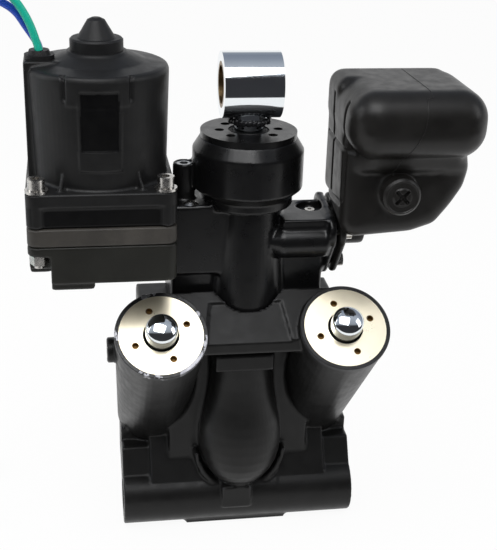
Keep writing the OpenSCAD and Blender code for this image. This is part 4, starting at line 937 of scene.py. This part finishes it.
def makeFloor():
    side, front, back = studio["floorSide"], studio["floorFront"], studio["floorBack"]
    wide, z = side * studio["floorWidening"], studio["floorZ"]
    corners = [(-side, -front, z), (side, -front, z), (wide, back, z), (-wide, back, z)]
    floor = linked("floor", meshFrom("floor", corners, [(0, 1, 2, 3)]))
    mat, tree, shader = nodeTools("floor")
    shader.inputs["Base Color"].default_value = studio["floorColour"]
    shader.inputs["Roughness"].default_value = 0.7
    shader.inputs["Specular IOR Level"].default_value = 0.2
    glow = tree.nodes.new("ShaderNodeEmission")
    glow.inputs["Color"].default_value = (1, 1, 1, 1)
    mix = tree.nodes.new("ShaderNodeMixShader")
    scale = tree.nodes.new("ShaderNodeMath")
    scale.operation = "MULTIPLY"
    scale.inputs[1].default_value = studio["floorGlow"]
    seen = anyOf(tree, "Is Camera Ray", "Is Glossy Ray", "Is Transmission Ray")
    tree.links.new(seen, scale.inputs[0])
    tree.links.new(scale.outputs[0], mix.inputs["Fac"])
    tree.links.new(shader.outputs["BSDF"], mix.inputs[1])
    tree.links.new(glow.outputs["Emission"], mix.inputs[2])
    tree.links.new(mix.outputs["Shader"], tree.nodes["Material Output"].inputs["Surface"])
    floor.data.materials.append(mat)


def makeLamps():
    for name, place, size, power in studio["lamps"]:
        data = bpy.data.lights.new(name, "AREA")
        data.shape = "RECTANGLE"
        data.size, data.size_y = size
        data.energy = power
        lamp = linked(name, data)
        lamp.location = place
        ahead = Vector(studio["lampsAim"]) - Vector(place)
        lamp.rotation_euler = ahead.to_track_quat("-Z", "Y").to_euler()


def makeWorld():
    world = bpy.data.worlds.new("studio")
    scene.world = world
    world.use_nodes = True
    tree = world.node_tree
    light = tree.nodes["Background"]
    light.inputs["Color"].default_value = (1, 1, 1, 1)
    light.inputs["Strength"].default_value = studio["daylight"]
    coords = tree.nodes.new("ShaderNodeTexCoord")
    split = tree.nodes.new("ShaderNodeSeparateXYZ")
    tree.links.new(coords.outputs["Generated"], split.inputs["Vector"])
    ahead = tree.nodes.new("ShaderNodeMath")
    ahead.operation = "MULTIPLY"
    ahead.inputs[1].default_value = -1
    tree.links.new(split.outputs["Y"], ahead.inputs[0])
    angle = tree.nodes.new("ShaderNodeMath")
    angle.operation = "ARCTAN2"
    tree.links.new(split.outputs["Z"], angle.inputs[0])
    tree.links.new(ahead.outputs[0], angle.inputs[1])
    turn = tree.nodes.new("ShaderNodeMapRange")
    turn.inputs["From Min"].default_value = -math.pi
    turn.inputs["From Max"].default_value = math.pi
    tree.links.new(angle.outputs[0], turn.inputs["Value"])
    stops = [((degrees + 180) / 360, colour) for degrees, *colour in studio["room"]]
    room = tree.nodes.new("ShaderNodeBackground")
    tree.links.new(ramp(tree, turn.outputs["Result"], stops), room.inputs["Color"])
    white = tree.nodes.new("ShaderNodeBackground")
    white.inputs["Color"].default_value = (1, 1, 1, 1)
    seen = tree.nodes.new("ShaderNodeMixShader")
    tree.links.new(anyOf(tree, "Is Glossy Ray", "Is Transmission Ray"), seen.inputs["Fac"])
    tree.links.new(light.outputs["Background"], seen.inputs[1])
    tree.links.new(room.outputs["Background"], seen.inputs[2])
    backdrop = tree.nodes.new("ShaderNodeMixShader")
    tree.links.new(anyOf(tree, "Is Camera Ray"), backdrop.inputs["Fac"])
    tree.links.new(seen.outputs["Shader"], backdrop.inputs[1])
    tree.links.new(white.outputs["Background"], backdrop.inputs[2])
    tree.links.new(backdrop.outputs["Shader"], tree.nodes["World Output"].inputs["Surface"])


makeFloor()
makeLamps()
makeWorld()
print("studio made")
